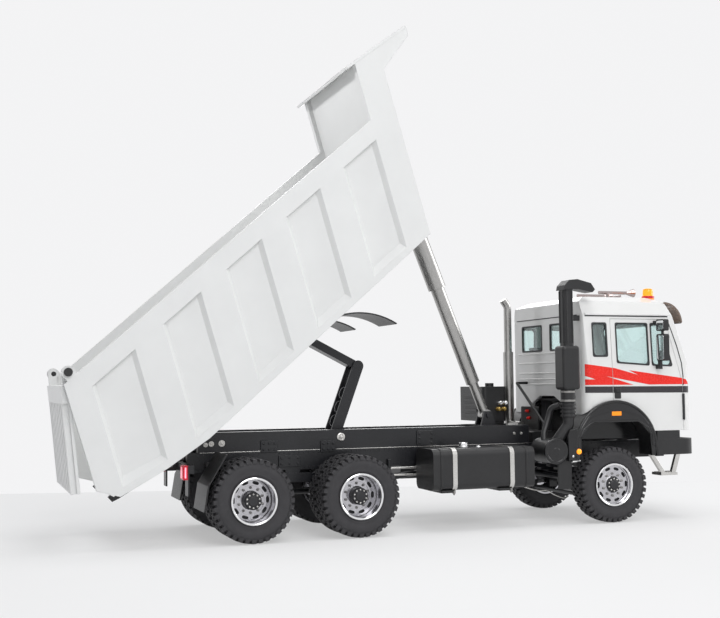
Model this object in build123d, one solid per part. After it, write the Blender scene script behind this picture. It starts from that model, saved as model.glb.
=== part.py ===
from build123d import *
import math
import os

# Three-axle dump truck, a 1:14 working scale model, in millimetres.
# While modelling, X is forward from the rearmost axle, Y is to the left and Z is up from the floor.
# The bed is modelled lowered, then turned up about its hinge to the tipped pose.

# Driving dimensions: axles and wheels
REAR_AXLE_X = 0.0
MIDDLE_AXLE_X = 111.0
FRONT_AXLE_X = 406.5
TYRE_RADIUS = 41.5
TYRE_WIDTH = 24.0
LUG_DEPTH = 2.6
LUG_COUNT = 20
LUG_SHARE = 0.64
TYRE_BORE_RADIUS = 23.3
RIM_FIT = 0.05
RIM_WALL = 1.8
TWIN_GAP = 3.0
REAR_HALF_WIDTH = 89.5
FRONT_HALF_WIDTH = 88.0
REAR_DISH = 17.0
FRONT_DISH = 5.0
DISC_THICKNESS = 3.0
HAND_HOLES = 10
HAND_HOLE_LENGTH = 6.0
HAND_HOLE_WIDTH = 3.4
HAND_HOLE_CIRCLE = 16.6
HUB_RADIUS = 8.5
STUB_RADIUS = 4.0
RUNNING_FIT = 0.05
SIDE_PLAY = 0.4

# Driving dimensions: chassis
RAIL_OUTER_Y = 32.0
RAIL_FLANGE = 11.0
RAIL_SHEET = 2.0
RAIL_BOTTOM_Z = 66.5
RAIL_TOP_Z = 86.5
RAIL_REAR_X = -55.0
CROSS_SHEET = 4.0
SUBFRAME_TOP_Z = 106.8
SUBFRAME_BAR = 9.0
SUBFRAME_REAR_X = -44.0
SUBFRAME_FRONT_X = 332.0
AXLE_TUBE_RADIUS = 6.0
DIFF_RADIUS = 15.0
DIFF_HALF_WIDTH = 11.0
SPRING_WIDTH = 9.0
SPRING_LEAF = 2.4
SPRING_LEAVES = 4

# Driving dimensions: tipping gear
HINGE_X = -30.0
HINGE_Z = 95.4
HINGE_PIN_RADIUS = 3.0
BED_TILT = 41.4
LIFT_BASE_X = 293.5
LIFT_BASE_Z = 117.7
LIFT_TOP_X = 358.4
LIFT_TOP_Z = 265.5
LIFT_PIN_RADIUS = 3.0
LIFT_EYE_RADIUS = 6.5
LIFT_EYE_WIDTH = 11.0
LIFT_EAR_GAP = 0.5
LIFT_WALL = 2.0
ROD_RADIUS = 5.4
STAGE_GAP = 0.2
STAGE_WALL = 2.2
ROD_SHOWING = 39.6
STAGE_B_SHOWING = 115.1
FOLDED_EYE_GAP = 8.6
SCISSOR_FOOT_X = 108.7
SCISSOR_FOOT_Z = 98.9
SCISSOR_HEAD_X = 123.5
SCISSOR_HEAD_Z = 104.5
SCISSOR_ELBOW_X = 136.4
SCISSOR_ELBOW_Z = 174.2
SCISSOR_HALF_WIDTH = 11.0
SCISSOR_SHEET = 2.0
SCISSOR_DEPTH = 12.0
UPPER_ARM_DEPTH = 8.4
SCISSOR_PIN_RADIUS = 2.5
SCISSOR_PLAY = 0.4

# Driving dimensions: bed, lowered
BED_BOTTOM_Z = 111.0
BED_TOP_Z = 241.3
BED_FLOOR = 3.0
BED_RAKE = 25.0
BED_SIDE_OUTER_Y = 88.0
BED_SIDE_THICKNESS = 7.5
BED_TAIL_START_X = -35.0
BED_TAIL_KNEE_X = -82.8
BED_TAIL_KNEE_RISE = 6.0
BED_TAIL_END_X = -132.8
BED_TAIL_END_RISE = 16.7
BED_CORNER_X = -145.4
BED_CORNER_RISE = 35.5
BED_REAR_TOP_X = -102.3
BED_POST_FOOT_X = 244.6
BED_POST_WIDTH = 33.0
CANOPY_REAR_X = 321.0
CANOPY_REAR_Z = 299.5
CANOPY_TIP_X = 403.5
CANOPY_TIP_Z = 293.5
CANOPY_SHEET = 3.0
CANOPY_LIP = 7.5
CANOPY_KINK_Z = 272.4
HEADBOARD_SHEET = 3.0
HEADBOARD_SETBACK = 5.0
POCKET_COUNT = 5
POCKET_FIRST_X = -126.0
POCKET_PITCH = 81.4
POCKET_WIDTH = 48.0
POCKET_DEPTH = 5.3
POCKET_FLANK = 4.5
POCKET_SILL = 7.0
POCKET_LEDGE = 7.0
BED_RAIL_HEIGHT = 18.5
SILL_INNER_Y = 21.0
SILL_WIDTH = 10.0
SILL_REAR_X = -25.0
SILL_GAP = 0.4

# Driving dimensions: tailgate
GATE_PIVOT_X = -92.0
GATE_PIVOT_Z = 247.4
GATE_PIN_RADIUS = 2.5
GATE_HALF_WIDTH = 79.6
GATE_FRONT = 1.0
GATE_SHEET = 3.0
GATE_RIB = 5.5
GATE_BEAM_TOP = 12.0
GATE_BEAM_HEIGHT = 17.0
GATE_LENGTH = 114.0
GATE_LEAN = 6.0
GATE_RIBS = 9
GATE_EAR = 6.0

# Driving dimensions: cab
CAB_REAR_X = 374.0
CAB_LENGTH = 139.0
CAB_BOTTOM_Z = 99.0
CAB_WAIST_Z = 161.0
CAB_GUTTER_Z = 229.0
CAB_ROOF_Z = 250.0
CAB_HALF_WIDTH = 84.0
CAB_SIDE_LEAN = 4.0
CAB_ROOF_INSET = 22.0
SCREEN_RAKE = 21.0
CAB_SHEET = 4.0
CAB_CORNER = 9.0
CAB_FLOOR_Z = 133.0
CAB_FLOOR_SHEET = 2.5
PANEL_GAP = 0.4
GLASS = 1.5
REAR_POST = 36.0
FRONT_POST = 12.0
DOOR_TOP_Z = 224.0
SCREEN_POST = 10.0
DOOR_RAKE_Z = 150.0
WINDOW_SILL_Z = 172.0
WINDOW_TOP_Z = 220.0
FENDER_X = 411.0
FENDER_Z = 81.0
FENDER_RADIUS = 52.0
FENDER_STAND_OUT = 3.0
FENDER_INNER_Y = 56.0
FENDER_SHEET = 2.5
FENDER_FOOT_Z = 72.0
ARCH_HALF_LENGTH = 45.0
ARCH_TOP_Z = 111.0
ARCH_CHAMFER = 16.0

# Driving dimensions: steering
KINGPIN_Y = 57.0
KINGPIN_RADIUS = 2.5
YOKE_HEIGHT = 26.0
YOKE_SHEET = 4.0
STEER_ARM = 24.0
STEER_ARM_Y = 49.0
TIE_ROD_RADIUS = 2.0

# Driving dimensions: pieces along the frame
TANK_REAR_X = 191.0
TANK_FRONT_X = 309.0
TANK_BOTTOM_Z = 43.0
TANK_TOP_Z = 86.0
TANK_OUTER_Y = 86.0
TANK_INNER_Y = 40.0
TANK_ROUND = 7.0
STRAP_X = (215.5, 282.0)
STRAP_WIDTH = 5.0
STRAP_SHEET = 0.8
BUMPER_AHEAD = 5.0
BUMPER_BOTTOM_Z = 72.0
BUMPER_TOP_Z = 89.5
BUMPER_SHEET = 8.0
BUMPER_RETURN = 52.0

# Places that follow from them
CAB_FRONT_X = CAB_REAR_X + CAB_LENGTH
CAB_BROW_X = CAB_FRONT_X - SCREEN_RAKE
CAB_GUTTER_HALF_WIDTH = CAB_HALF_WIDTH - CAB_SIDE_LEAN
CAB_ROOF_HALF_WIDTH = CAB_HALF_WIDTH - CAB_ROOF_INSET
DOOR_REAR_X = CAB_REAR_X + REAR_POST
DOOR_FRONT_X = CAB_FRONT_X - FRONT_POST
DOOR_TOP_FRONT_X = CAB_BROW_X - SCREEN_POST
FENDER_OUTER_Y = CAB_HALF_WIDTH + FENDER_STAND_OUT
BUMPER_FRONT_X = CAB_FRONT_X + BUMPER_AHEAD
BUMPER_RETURN_X = BUMPER_FRONT_X - BUMPER_RETURN
RAIL_FRONT_X = BUMPER_FRONT_X - BUMPER_SHEET

nodes = {}


def box(x0, x1, y0, y1, z0, z1):
    centre = ((x0 + x1) / 2, (y0 + y1) / 2, (z0 + z1) / 2)
    return Pos(*centre) * Box(x1 - x0, y1 - y0, z1 - z0)


def rod_y(x, z, radius, y0, y1):
    return Pos(x, (y0 + y1) / 2, z) * Rot(90, 0, 0) * Cylinder(radius, y1 - y0)


def rod_x(y, z, radius, x0, x1):
    return Pos((x0 + x1) / 2, y, z) * Rot(0, 90, 0) * Cylinder(radius, x1 - x0)


def rod_z(x, y, radius, z0, z1):
    return Pos(x, y, (z0 + z1) / 2) * Cylinder(radius, z1 - z0)


def rod_between(start, end, radius):
    line = Edge.make_line(start, end)
    return extrude(Plane(start, z_dir=line % 0) * Circle(radius), line.length)


def outline(points, rounding=0.0):
    face = make_face(Polyline(*points, close=True))
    if rounding > 0:
        face = fillet(face.vertices(), rounding)
    return face


def prism_y(face, y0, y1):
    return extrude(Plane((0, y1, 0), x_dir=(1, 0, 0), z_dir=(0, -1, 0)) * face, y1 - y0)


def prism_x(face, x0, x1):
    return extrude(Plane((x0, 0, 0), x_dir=(0, 1, 0), z_dir=(1, 0, 0)) * face, x1 - x0)


def prism_z(face, z0, z1):
    return extrude(Plane((0, 0, z0)) * face, z1 - z0)


def mirrored(shape):
    return mirror(shape, about=Plane.XZ)


def both_sides(shape):
    return [shape, mirrored(shape)]


def turned(shape, x, z, degrees):
    # A positive angle takes the front of the shape down.
    return shape.rotate(Axis((x, 0, z), (0, 1, 0)), degrees)


def turned_point(point, x, z, degrees):
    a = math.radians(degrees)
    dx, dz = point[0] - x, point[1] - z
    return (x + dx * math.cos(a) + dz * math.sin(a), z - dx * math.sin(a) + dz * math.cos(a))


def add(name, *shapes):
    solids = [solid for shape in shapes for solid in ShapeList([shape]).solids()]
    nodes[name] = solids


def raised(*shapes):
    return [turned(shape, HINGE_X, HINGE_Z, -BED_TILT) for shape in shapes]


# Wheels
def tyre(centre_y):
    half = TYRE_WIDTH / 2
    base = TYRE_RADIUS - LUG_DEPTH
    bulge = (TYRE_BORE_RADIUS + base) / 2
    profile = outline([
        (TYRE_BORE_RADIUS, -half + 1.5),
        (bulge, -half),
        (base, -half + 1.2),
        (base, half - 1.2),
        (bulge, half),
        (TYRE_BORE_RADIUS, half - 1.5),
    ])
    body = revolve(Plane.XY * profile, Axis.Y)
    lug_width = 2 * math.pi * TYRE_RADIUS / LUG_COUNT * LUG_SHARE
    lug_low = base - 1.0
    lug = Pos((lug_low + TYRE_RADIUS) / 2, 0, 0) * Box(TYRE_RADIUS - lug_low, TYRE_WIDTH - 2.4, lug_width)
    lugs = [Rot(0, 360 / LUG_COUNT * i, 0) * lug for i in range(LUG_COUNT)]
    return Pos(0, centre_y, 0) * (body + lugs)


def disc_wheel(outer_y, inner_y, dish, hub_out):
    # One wheel about Y, its open face towards +Y: rim barrel, disc, hub with a blind bore.
    seat = TYRE_BORE_RADIUS - RIM_FIT
    barrel = seat - RIM_WALL
    face_y = outer_y - dish
    back_y = face_y - DISC_THICKNESS
    bore = STUB_RADIUS + RUNNING_FIT
    cap_y = face_y + hub_out
    profile = outline([
        (0, cap_y - 3),
        (0, cap_y),
        (HUB_RADIUS - 1.5, cap_y),
        (HUB_RADIUS, cap_y - 1.5),
        (HUB_RADIUS, face_y + 1),
        (barrel, face_y),
        (barrel, outer_y - 1.5),
        (seat - 0.4, outer_y),
        (seat, outer_y),
        (seat, inner_y),
        (barrel, inner_y),
        (barrel, back_y),
        (HUB_RADIUS, back_y),
        (HUB_RADIUS, back_y - 4),
        (bore, back_y - 4),
        (bore, cap_y - 3),
    ])
    wheel = revolve(Plane.XY * profile, Axis.Y)
    oval = extrude(Rot(90, 90, 0) * SlotOverall(HAND_HOLE_LENGTH, HAND_HOLE_WIDTH), 2 * DISC_THICKNESS, both=True)
    holes = [
        Rot(0, 360 / HAND_HOLES * i, 0) * Pos(HAND_HOLE_CIRCLE, face_y, 0) * oval
        for i in range(HAND_HOLES)
    ]
    return wheel - holes


def wheel_set(outer_y, tyre_count, dish, hub_out):
    pitch = TYRE_WIDTH + TWIN_GAP
    tyres = [tyre(outer_y - TYRE_WIDTH / 2 - pitch * i) for i in range(tyre_count)]
    inner_y = outer_y - TYRE_WIDTH - pitch * (tyre_count - 1)
    return tyres, disc_wheel(outer_y - 0.3, inner_y + 0.8, dish, hub_out)


FRONT_HUB_OUT = 3.5
REAR_HUB_OUT = 12.0
REAR_HUB_BACK_Y = REAR_HALF_WIDTH - 0.3 - REAR_DISH - DISC_THICKNESS - 4
FRONT_HUB_BACK_Y = FRONT_HALF_WIDTH - 0.3 - FRONT_DISH - DISC_THICKNESS - 4
FRONT_BORE_END_Y = FRONT_HALF_WIDTH - 0.3 - FRONT_DISH + FRONT_HUB_OUT - 3
REAR_BORE_END_Y = REAR_HALF_WIDTH - 0.3 - REAR_DISH + REAR_HUB_OUT - 3
wheel_places = [
    # name, axle x, outer y, tyres, dish, hub stand-out
    ("front", FRONT_AXLE_X, FRONT_HALF_WIDTH, 1, FRONT_DISH, FRONT_HUB_OUT),
    ("middle", MIDDLE_AXLE_X, REAR_HALF_WIDTH, 2, REAR_DISH, REAR_HUB_OUT),
    ("rear", REAR_AXLE_X, REAR_HALF_WIDTH, 2, REAR_DISH, REAR_HUB_OUT),
]
for name, axle_x, outer_y, tyre_count, dish, hub_out in wheel_places:
    tyres, rim = wheel_set(outer_y, tyre_count, dish, hub_out)
    place = Pos(axle_x, 0, TYRE_RADIUS)
    word = "tyre" if tyre_count == 1 else "tyres"
    add(f"{name}_left_{word}", *[place * t for t in tyres])
    add(f"{name}_left_rim", place * rim)
    add(f"{name}_right_{word}", *[mirrored(place * t) for t in tyres])
    add(f"{name}_right_rim", mirrored(place * rim))

# Frame rails: channels open to the middle, with plates across
rail = box(RAIL_REAR_X, RAIL_FRONT_X, RAIL_OUTER_Y - RAIL_FLANGE, RAIL_OUTER_Y, RAIL_BOTTOM_Z, RAIL_TOP_Z)
rail -= box(
    RAIL_REAR_X - 1, RAIL_FRONT_X + 1, RAIL_OUTER_Y - RAIL_FLANGE - 1, RAIL_OUTER_Y - RAIL_SHEET,
    RAIL_BOTTOM_Z + RAIL_SHEET, RAIL_TOP_Z - RAIL_SHEET,
)
CROSS_X = (RAIL_REAR_X + 6, 55.5, 205.0, 330.0, RAIL_FRONT_X - 40)
frame = rail + mirrored(rail)
web_y = RAIL_OUTER_Y - RAIL_SHEET
for x in CROSS_X:
    cross = box(x - CROSS_SHEET / 2, x + CROSS_SHEET / 2, -web_y, web_y, RAIL_BOTTOM_Z + RAIL_SHEET,
                RAIL_TOP_Z - RAIL_SHEET)
    cross -= rod_x(0, (RAIL_BOTTOM_Z + RAIL_TOP_Z) / 2, 5, x - CROSS_SHEET, x + CROSS_SHEET)
    frame += cross

# Tipping subframe with the bed's hinge pin, the scissor's foot and the lift's foot
bar = outline([
    (SUBFRAME_REAR_X, RAIL_TOP_Z),
    (SUBFRAME_FRONT_X, RAIL_TOP_Z),
    (SUBFRAME_FRONT_X, SUBFRAME_TOP_Z),
    (SUBFRAME_REAR_X + 8, SUBFRAME_TOP_Z),
    (SUBFRAME_REAR_X, SUBFRAME_TOP_Z - 8),
])
bar_inner_y = RAIL_OUTER_Y - SUBFRAME_BAR
subframe = prism_y(bar, bar_inner_y, RAIL_OUTER_Y) + prism_y(bar, -RAIL_OUTER_Y, -bar_inner_y)
subframe += rod_y(HINGE_X, HINGE_Z, HINGE_PIN_RADIUS, -bar_inner_y, bar_inner_y)
subframe += rod_y(SCISSOR_FOOT_X, SCISSOR_FOOT_Z, SCISSOR_PIN_RADIUS, -bar_inner_y, bar_inner_y)
LIFT_PLATE = 3.0
lift_plate_x = (LIFT_BASE_X - 12, LIFT_BASE_X + 14)
subframe += box(*lift_plate_x, -bar_inner_y - 4, bar_inner_y + 4, SUBFRAME_TOP_Z - LIFT_PLATE,
                SUBFRAME_TOP_Z)
ear_in = LIFT_EYE_WIDTH / 2 + LIFT_EAR_GAP
ear_face = outline([
    (LIFT_BASE_X - 9, SUBFRAME_TOP_Z),
    (LIFT_BASE_X + 9, SUBFRAME_TOP_Z),
    (LIFT_BASE_X + 5, LIFT_BASE_Z + 4.5),
    (LIFT_BASE_X - 5, LIFT_BASE_Z + 4.5),
])
for side in (1, -1):
    y0, y1 = sorted((side * ear_in, side * (ear_in + 3)))
    subframe += prism_y(ear_face, y0, y1)
    y0, y1 = sorted((side * (ear_in + 3), side * (ear_in + 5)))
    subframe += rod_y(LIFT_BASE_X, LIFT_BASE_Z, LIFT_PIN_RADIUS, y0, y1)
add("subframe", subframe)

# Axles
front_tube_end = KINGPIN_Y - 7
yoke_reach = 4.5


def front_axle():
    z = TYRE_RADIUS
    beam = rod_y(FRONT_AXLE_X, z, AXLE_TUBE_RADIUS, -front_tube_end, front_tube_end)
    beam += rod_y(FRONT_AXLE_X, z, DIFF_RADIUS, -DIFF_HALF_WIDTH, DIFF_HALF_WIDTH)
    half = YOKE_HEIGHT / 2
    for side in (1, -1):
        y0, y1 = sorted((side * (front_tube_end - 3), side * front_tube_end))
        beam += box(FRONT_AXLE_X - 5, FRONT_AXLE_X + 5, y0, y1, z - half, z + half)
        y0, y1 = sorted((side * front_tube_end, side * (KINGPIN_Y + yoke_reach)))
        for low in (z - half, z + half - YOKE_SHEET):
            beam += box(FRONT_AXLE_X - 5, FRONT_AXLE_X + 5, y0, y1, low, low + YOKE_SHEET)
    for side in (1, -1):
        beam -= rod_z(FRONT_AXLE_X, side * KINGPIN_Y, KINGPIN_RADIUS + RUNNING_FIT, z - half - 1, z + half + 1)
    return beam


def rear_axle(x):
    z = TYRE_RADIUS
    tube_end = REAR_HUB_BACK_Y - SIDE_PLAY
    stub_end = REAR_BORE_END_Y - SIDE_PLAY
    axle = rod_y(x, z, AXLE_TUBE_RADIUS, -tube_end, tube_end)
    axle += rod_y(x, z, STUB_RADIUS, -stub_end, stub_end)
    axle += rod_y(x, z, DIFF_RADIUS, -DIFF_HALF_WIDTH, DIFF_HALF_WIDTH)
    return axle


add("front_axle", front_axle())
add("rear_axles", rear_axle(REAR_AXLE_X), rear_axle(MIDDLE_AXLE_X))

# Leaf springs: arched packs, each leaf shorter than the one it lies on
SPRING_INNER_Y = RAIL_OUTER_Y - SPRING_WIDTH
SPRING_RADIUS = 260.0
SPRING_SEAT = 0.2
AXLE_TOP_Z = TYRE_RADIUS + AXLE_TUBE_RADIUS
bogie_half = (MIDDLE_AXLE_X - REAR_AXLE_X) / 2
bogie_x = (MIDDLE_AXLE_X + REAR_AXLE_X) / 2
SPRING_TIP = 4.0
FRONT_SPRING_HALF = 48.0
pack_height = SPRING_LEAF * SPRING_LEAVES
bogie_drop = SPRING_RADIUS - math.sqrt(SPRING_RADIUS**2 - bogie_half**2)
bogie_main_z = AXLE_TOP_Z + SPRING_SEAT + bogie_drop
front_main_z = AXLE_TOP_Z + SPRING_SEAT + pack_height


def leaf_pack(centre_x, main_z, half_length, up):
    # The longest leaf is the one nearest the centre of curvature, below the pack where up is 1.
    def point(radius, x):
        z = math.sqrt(SPRING_RADIUS**2 - x**2) * radius / SPRING_RADIUS
        return (centre_x + x * radius / SPRING_RADIUS, main_z + up * (z - SPRING_RADIUS))

    pack = None
    for i in range(SPRING_LEAVES):
        reach = half_length * (1 - 0.2 * i)
        low, high = SPRING_RADIUS + SPRING_LEAF * i, SPRING_RADIUS + SPRING_LEAF * (i + 1)
        leaf = make_face([
            ThreePointArc(point(low, -reach), point(low, 0), point(low, reach)),
            Line(point(low, reach), point(high, reach)),
            ThreePointArc(point(high, reach), point(high, 0), point(high, -reach)),
            Line(point(high, -reach), point(low, -reach)),
        ])
        solid = prism_y(leaf, SPRING_INNER_Y, RAIL_OUTER_Y)
        pack = solid if pack is None else pack + solid
    return pack


bogie_pack = leaf_pack(bogie_x, bogie_main_z, bogie_half + SPRING_TIP, 1)
front_pack = leaf_pack(FRONT_AXLE_X, front_main_z, FRONT_SPRING_HALF, -1)
add("leaf_springs", *both_sides(bogie_pack), *both_sides(front_pack))

# Spring brackets under the rails
TRUNNION_HALF = 8.0
HANGER_HALF = 4.0
trunnion_z = bogie_main_z + pack_height
front_tip_z = front_main_z + SPRING_RADIUS - math.sqrt(SPRING_RADIUS**2 - FRONT_SPRING_HALF**2)
trunnion = box(bogie_x - TRUNNION_HALF, bogie_x + TRUNNION_HALF, SPRING_INNER_Y, RAIL_OUTER_Y,
               trunnion_z, RAIL_BOTTOM_Z)
frame += both_sides(trunnion)
for end in (-1, 1):
    hanger_x = FRONT_AXLE_X + end * FRONT_SPRING_HALF
    hanger = box(hanger_x - HANGER_HALF, hanger_x + HANGER_HALF, SPRING_INNER_Y, RAIL_OUTER_Y,
                 front_tip_z + SPRING_SEAT, RAIL_BOTTOM_Z)
    frame += both_sides(hanger)
add("frame", frame)

# Gearbox and motor in one block, with the prop shafts to the axles
GEARBOX_REAR_X = 236.0
GEARBOX_FRONT_X = 300.0
GEARBOX_BOTTOM_Z = 52.0
GEARBOX_TOP_Z = 84.0
SHAFT_RADIUS = 3.5
SHAFT_OUT_Z = 60.0
SHAFT_IN_Z = 45.0
SHAFT_GAP = 0.2
gearbox_half = RAIL_OUTER_Y - RAIL_FLANGE
gearbox = box(GEARBOX_REAR_X, GEARBOX_FRONT_X, -gearbox_half, gearbox_half, GEARBOX_BOTTOM_Z, GEARBOX_TOP_Z)
reach = DIFF_RADIUS + SHAFT_GAP
gearbox += rod_between((GEARBOX_REAR_X + 1, 0, SHAFT_OUT_Z), (MIDDLE_AXLE_X + reach, 0, SHAFT_IN_Z), SHAFT_RADIUS)
gearbox += rod_between((GEARBOX_FRONT_X - 1, 0, SHAFT_OUT_Z), (FRONT_AXLE_X - reach, 0, SHAFT_IN_Z), SHAFT_RADIUS)
between_axles = rod_x(0, TYRE_RADIUS, SHAFT_RADIUS, REAR_AXLE_X + reach, MIDDLE_AXLE_X - reach)
add("drive_line", gearbox, between_axles)

# Fuel tank on the right, held by two straps
tank_mid_y = -(TANK_OUTER_Y + TANK_INNER_Y) / 2
tank_mid_z = (TANK_TOP_Z + TANK_BOTTOM_Z) / 2
tank_wide = TANK_OUTER_Y - TANK_INNER_Y
tank_high = TANK_TOP_Z - TANK_BOTTOM_Z


def tank_section(grow):
    section = RectangleRounded(tank_wide + 2 * grow, tank_high + 2 * grow, TANK_ROUND + grow)
    return Pos(tank_mid_y, tank_mid_z) * section


CAP_X = 236.0
CAP_RADIUS = 5.0
CAP_HEIGHT = 3.5
tank = prism_x(tank_section(0), TANK_REAR_X, TANK_FRONT_X)
tank += rod_z(CAP_X, tank_mid_y, CAP_RADIUS, TANK_TOP_Z - 1, TANK_TOP_Z + CAP_HEIGHT)
add("fuel_tank", tank)
straps = []
for x in STRAP_X:
    x0, x1 = x - STRAP_WIDTH / 2, x + STRAP_WIDTH / 2
    strap = prism_x(tank_section(STRAP_SHEET) - tank_section(0), x0, x1)
    strap += box(x0, x1, -TANK_INNER_Y + STRAP_SHEET / 2, -RAIL_OUTER_Y, RAIL_BOTTOM_Z + 3, RAIL_TOP_Z - 5)
    straps.append(strap)
add("tank_straps", *straps)

# Battery box on the left
BATTERY_X = (205.0, 300.0)
BATTERY_Z = (46.0, 82.0)
BATTERY_LID = 4.0
battery = box(*BATTERY_X, TANK_INNER_Y, TANK_OUTER_Y - 1.5, *BATTERY_Z)
battery += box(BATTERY_X[0] - 1.5, BATTERY_X[1] + 1.5, TANK_INNER_Y - 1, TANK_OUTER_Y, BATTERY_Z[1] - BATTERY_LID,
               BATTERY_Z[1])
for x in STRAP_X:
    battery += box(x - 3, x + 3, RAIL_OUTER_Y, TANK_INNER_Y, RAIL_BOTTOM_Z + 3, RAIL_TOP_Z - 8)
add("battery_box", battery)

# Air filter and raised intake behind the cab, right
FILTER_X = 336.0
FILTER_Z = 80.0
FILTER_RADIUS = 13.5
SNORKEL_X = 355.0
SNORKEL_Y = -80.0
DUCT_X = 12.4
DUCT_Y = 14.0
DUCT_ROUND = 4.0
SNORKEL_FOOT_Z = 116.0
BELLOWS_TOP_Z = 132.0
BELLOWS_RIBS = 4
BELLOWS_RADIUS = 7.0
PIPE_RADIUS = 6.0
NECK_RADIUS = 8.0
CANISTER_Z = (146.0, 194.0)
CANISTER_SIDE = 21.0
CANISTER_ROUND = 3.5
SNORKEL_TOP_Z = 256.0
HOOD_TOP_Z = 267.0
HOOD_FRONT_X = 387.0
HOOD_SIDE = 17.0
SNORKEL_STAY_Z = (222.0, 228.0)
intake = rod_y(FILTER_X, FILTER_Z, FILTER_RADIUS, -TANK_OUTER_Y, -TANK_OUTER_Y + 34)
intake += box(FILTER_X - 4, FILTER_X + 4, -TANK_OUTER_Y + 30, -RAIL_OUTER_Y, FILTER_Z - 8, FILTER_Z + 4)
elbow_path = FilletPolyline(
    (FILTER_X, SNORKEL_Y + 8, FILTER_Z),
    (SNORKEL_X, SNORKEL_Y, SNORKEL_FOOT_Z - 8),
    (SNORKEL_X, SNORKEL_Y, SNORKEL_FOOT_Z + 1),
    radius=8,
)
intake += sweep(Plane(elbow_path @ 0, z_dir=elbow_path % 0) * Circle(PIPE_RADIUS), path=elbow_path)
intake += rod_z(SNORKEL_X, SNORKEL_Y, BELLOWS_RADIUS, SNORKEL_FOOT_Z, BELLOWS_TOP_Z)
bellows_pitch = (BELLOWS_TOP_Z - SNORKEL_FOOT_Z) / BELLOWS_RIBS
for i in range(BELLOWS_RIBS):
    z = SNORKEL_FOOT_Z + bellows_pitch * (i + 0.25)
    intake += rod_z(SNORKEL_X, SNORKEL_Y, BELLOWS_RADIUS + 1.4, z, z + bellows_pitch * 0.5)
intake += rod_z(SNORKEL_X, SNORKEL_Y, NECK_RADIUS, BELLOWS_TOP_Z, CANISTER_Z[0] + 1)
canister = Pos(SNORKEL_X, SNORKEL_Y, sum(CANISTER_Z) / 2) * Box(CANISTER_SIDE, CANISTER_SIDE, CANISTER_Z[1] - CANISTER_Z[0])
intake += fillet(canister.edges(), CANISTER_ROUND)
duct = Pos(SNORKEL_X, SNORKEL_Y) * RectangleRounded(DUCT_X, DUCT_Y, DUCT_ROUND)
intake += prism_z(duct, CANISTER_Z[1] - 1, SNORKEL_TOP_Z + 1)
hood_rear_x = SNORKEL_X - DUCT_X / 2
hood = outline([
    (hood_rear_x - 1, SNORKEL_TOP_Z - 1),
    (hood_rear_x + DUCT_X + 4, SNORKEL_TOP_Z),
    (HOOD_FRONT_X - 3, SNORKEL_TOP_Z - 3),
    (HOOD_FRONT_X, SNORKEL_TOP_Z),
    (HOOD_FRONT_X - 5, HOOD_TOP_Z - 4),
    (SNORKEL_X + 10, HOOD_TOP_Z),
    (hood_rear_x + 6, HOOD_TOP_Z - 1),
    (hood_rear_x, SNORKEL_TOP_Z + 4),
])
intake += prism_y(hood, SNORKEL_Y - HOOD_SIDE / 2, SNORKEL_Y + HOOD_SIDE / 2)
intake += box(SNORKEL_X, CAB_REAR_X, SNORKEL_Y + 4, SNORKEL_Y + 8, *SNORKEL_STAY_Z)
add("air_intake", intake)

# Exhaust stack behind the cab, left
STACK_X = 353.0
STACK_Y = 55.0
STACK_RADIUS = 6.0
STACK_PIPE_RADIUS = 4.6
STACK_FOOT_Z = 104.0
STACK_STEP_Z = 191.0
STACK_TOP_Z = 246.0
STACK_TIP_BACK = 6.0
STACK_TIP_RISE = 8.0
STACK_BEND_RADIUS = 10.0
STACK_BRACKET = 12.0
stack = rod_z(STACK_X, STACK_Y, STACK_RADIUS, STACK_FOOT_Z - STACK_RADIUS, STACK_STEP_Z)
stack_path = FilletPolyline(
    (STACK_X, STACK_Y, STACK_STEP_Z),
    (STACK_X, STACK_Y, STACK_TOP_Z),
    (STACK_X - STACK_TIP_BACK, STACK_Y, STACK_TOP_Z + STACK_TIP_RISE),
    radius=STACK_BEND_RADIUS,
)
stack += sweep(Plane((STACK_X, STACK_Y, STACK_STEP_Z)) * Circle(STACK_PIPE_RADIUS), path=stack_path)
stack += rod_y(STACK_X, STACK_FOOT_Z, STACK_PIPE_RADIUS, RAIL_OUTER_Y - STACK_BRACKET / 2, STACK_Y)
stack += box(
    STACK_X - STACK_BRACKET / 2,
    STACK_X + STACK_BRACKET / 2,
    RAIL_OUTER_Y - STACK_BRACKET / 2 - 1,
    RAIL_OUTER_Y,
    RAIL_TOP_Z,
    STACK_FOOT_Z,
)
add("exhaust", stack)

# Hydraulic oil tank behind the cab
OIL_X = (299.0, 329.0)
OIL_Y = (15.0, 80.0)
OIL_TOP_Z = 150.0
OIL_FOOT = 3.0
oil = box(*OIL_X, *OIL_Y, SUBFRAME_TOP_Z + OIL_FOOT, OIL_TOP_Z)
oil = fillet(oil.edges().filter_by(Axis.Z), 4)
oil += box(OIL_X[0] + 11, OIL_X[1] - 3, OIL_Y[0] + 1, RAIL_OUTER_Y, SUBFRAME_TOP_Z, SUBFRAME_TOP_Z + OIL_FOOT + 1)
oil += rod_z((OIL_X[0] + OIL_X[1]) / 2, OIL_Y[0] + 14, 5, OIL_TOP_Z, OIL_TOP_Z + 4)
OIL_BARS = 5
bar_pitch = (OIL_TOP_Z - SUBFRAME_TOP_Z - 14) / OIL_BARS
for i in range(OIL_BARS):
    low = SUBFRAME_TOP_Z + OIL_FOOT + 5 + bar_pitch * i
    oil += box(OIL_X[0] - 1.5, OIL_X[0] + 1, OIL_Y[0] + 15, OIL_Y[1] - 12, low, low + bar_pitch * 0.55)
add("hydraulic_tank", oil)

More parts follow.
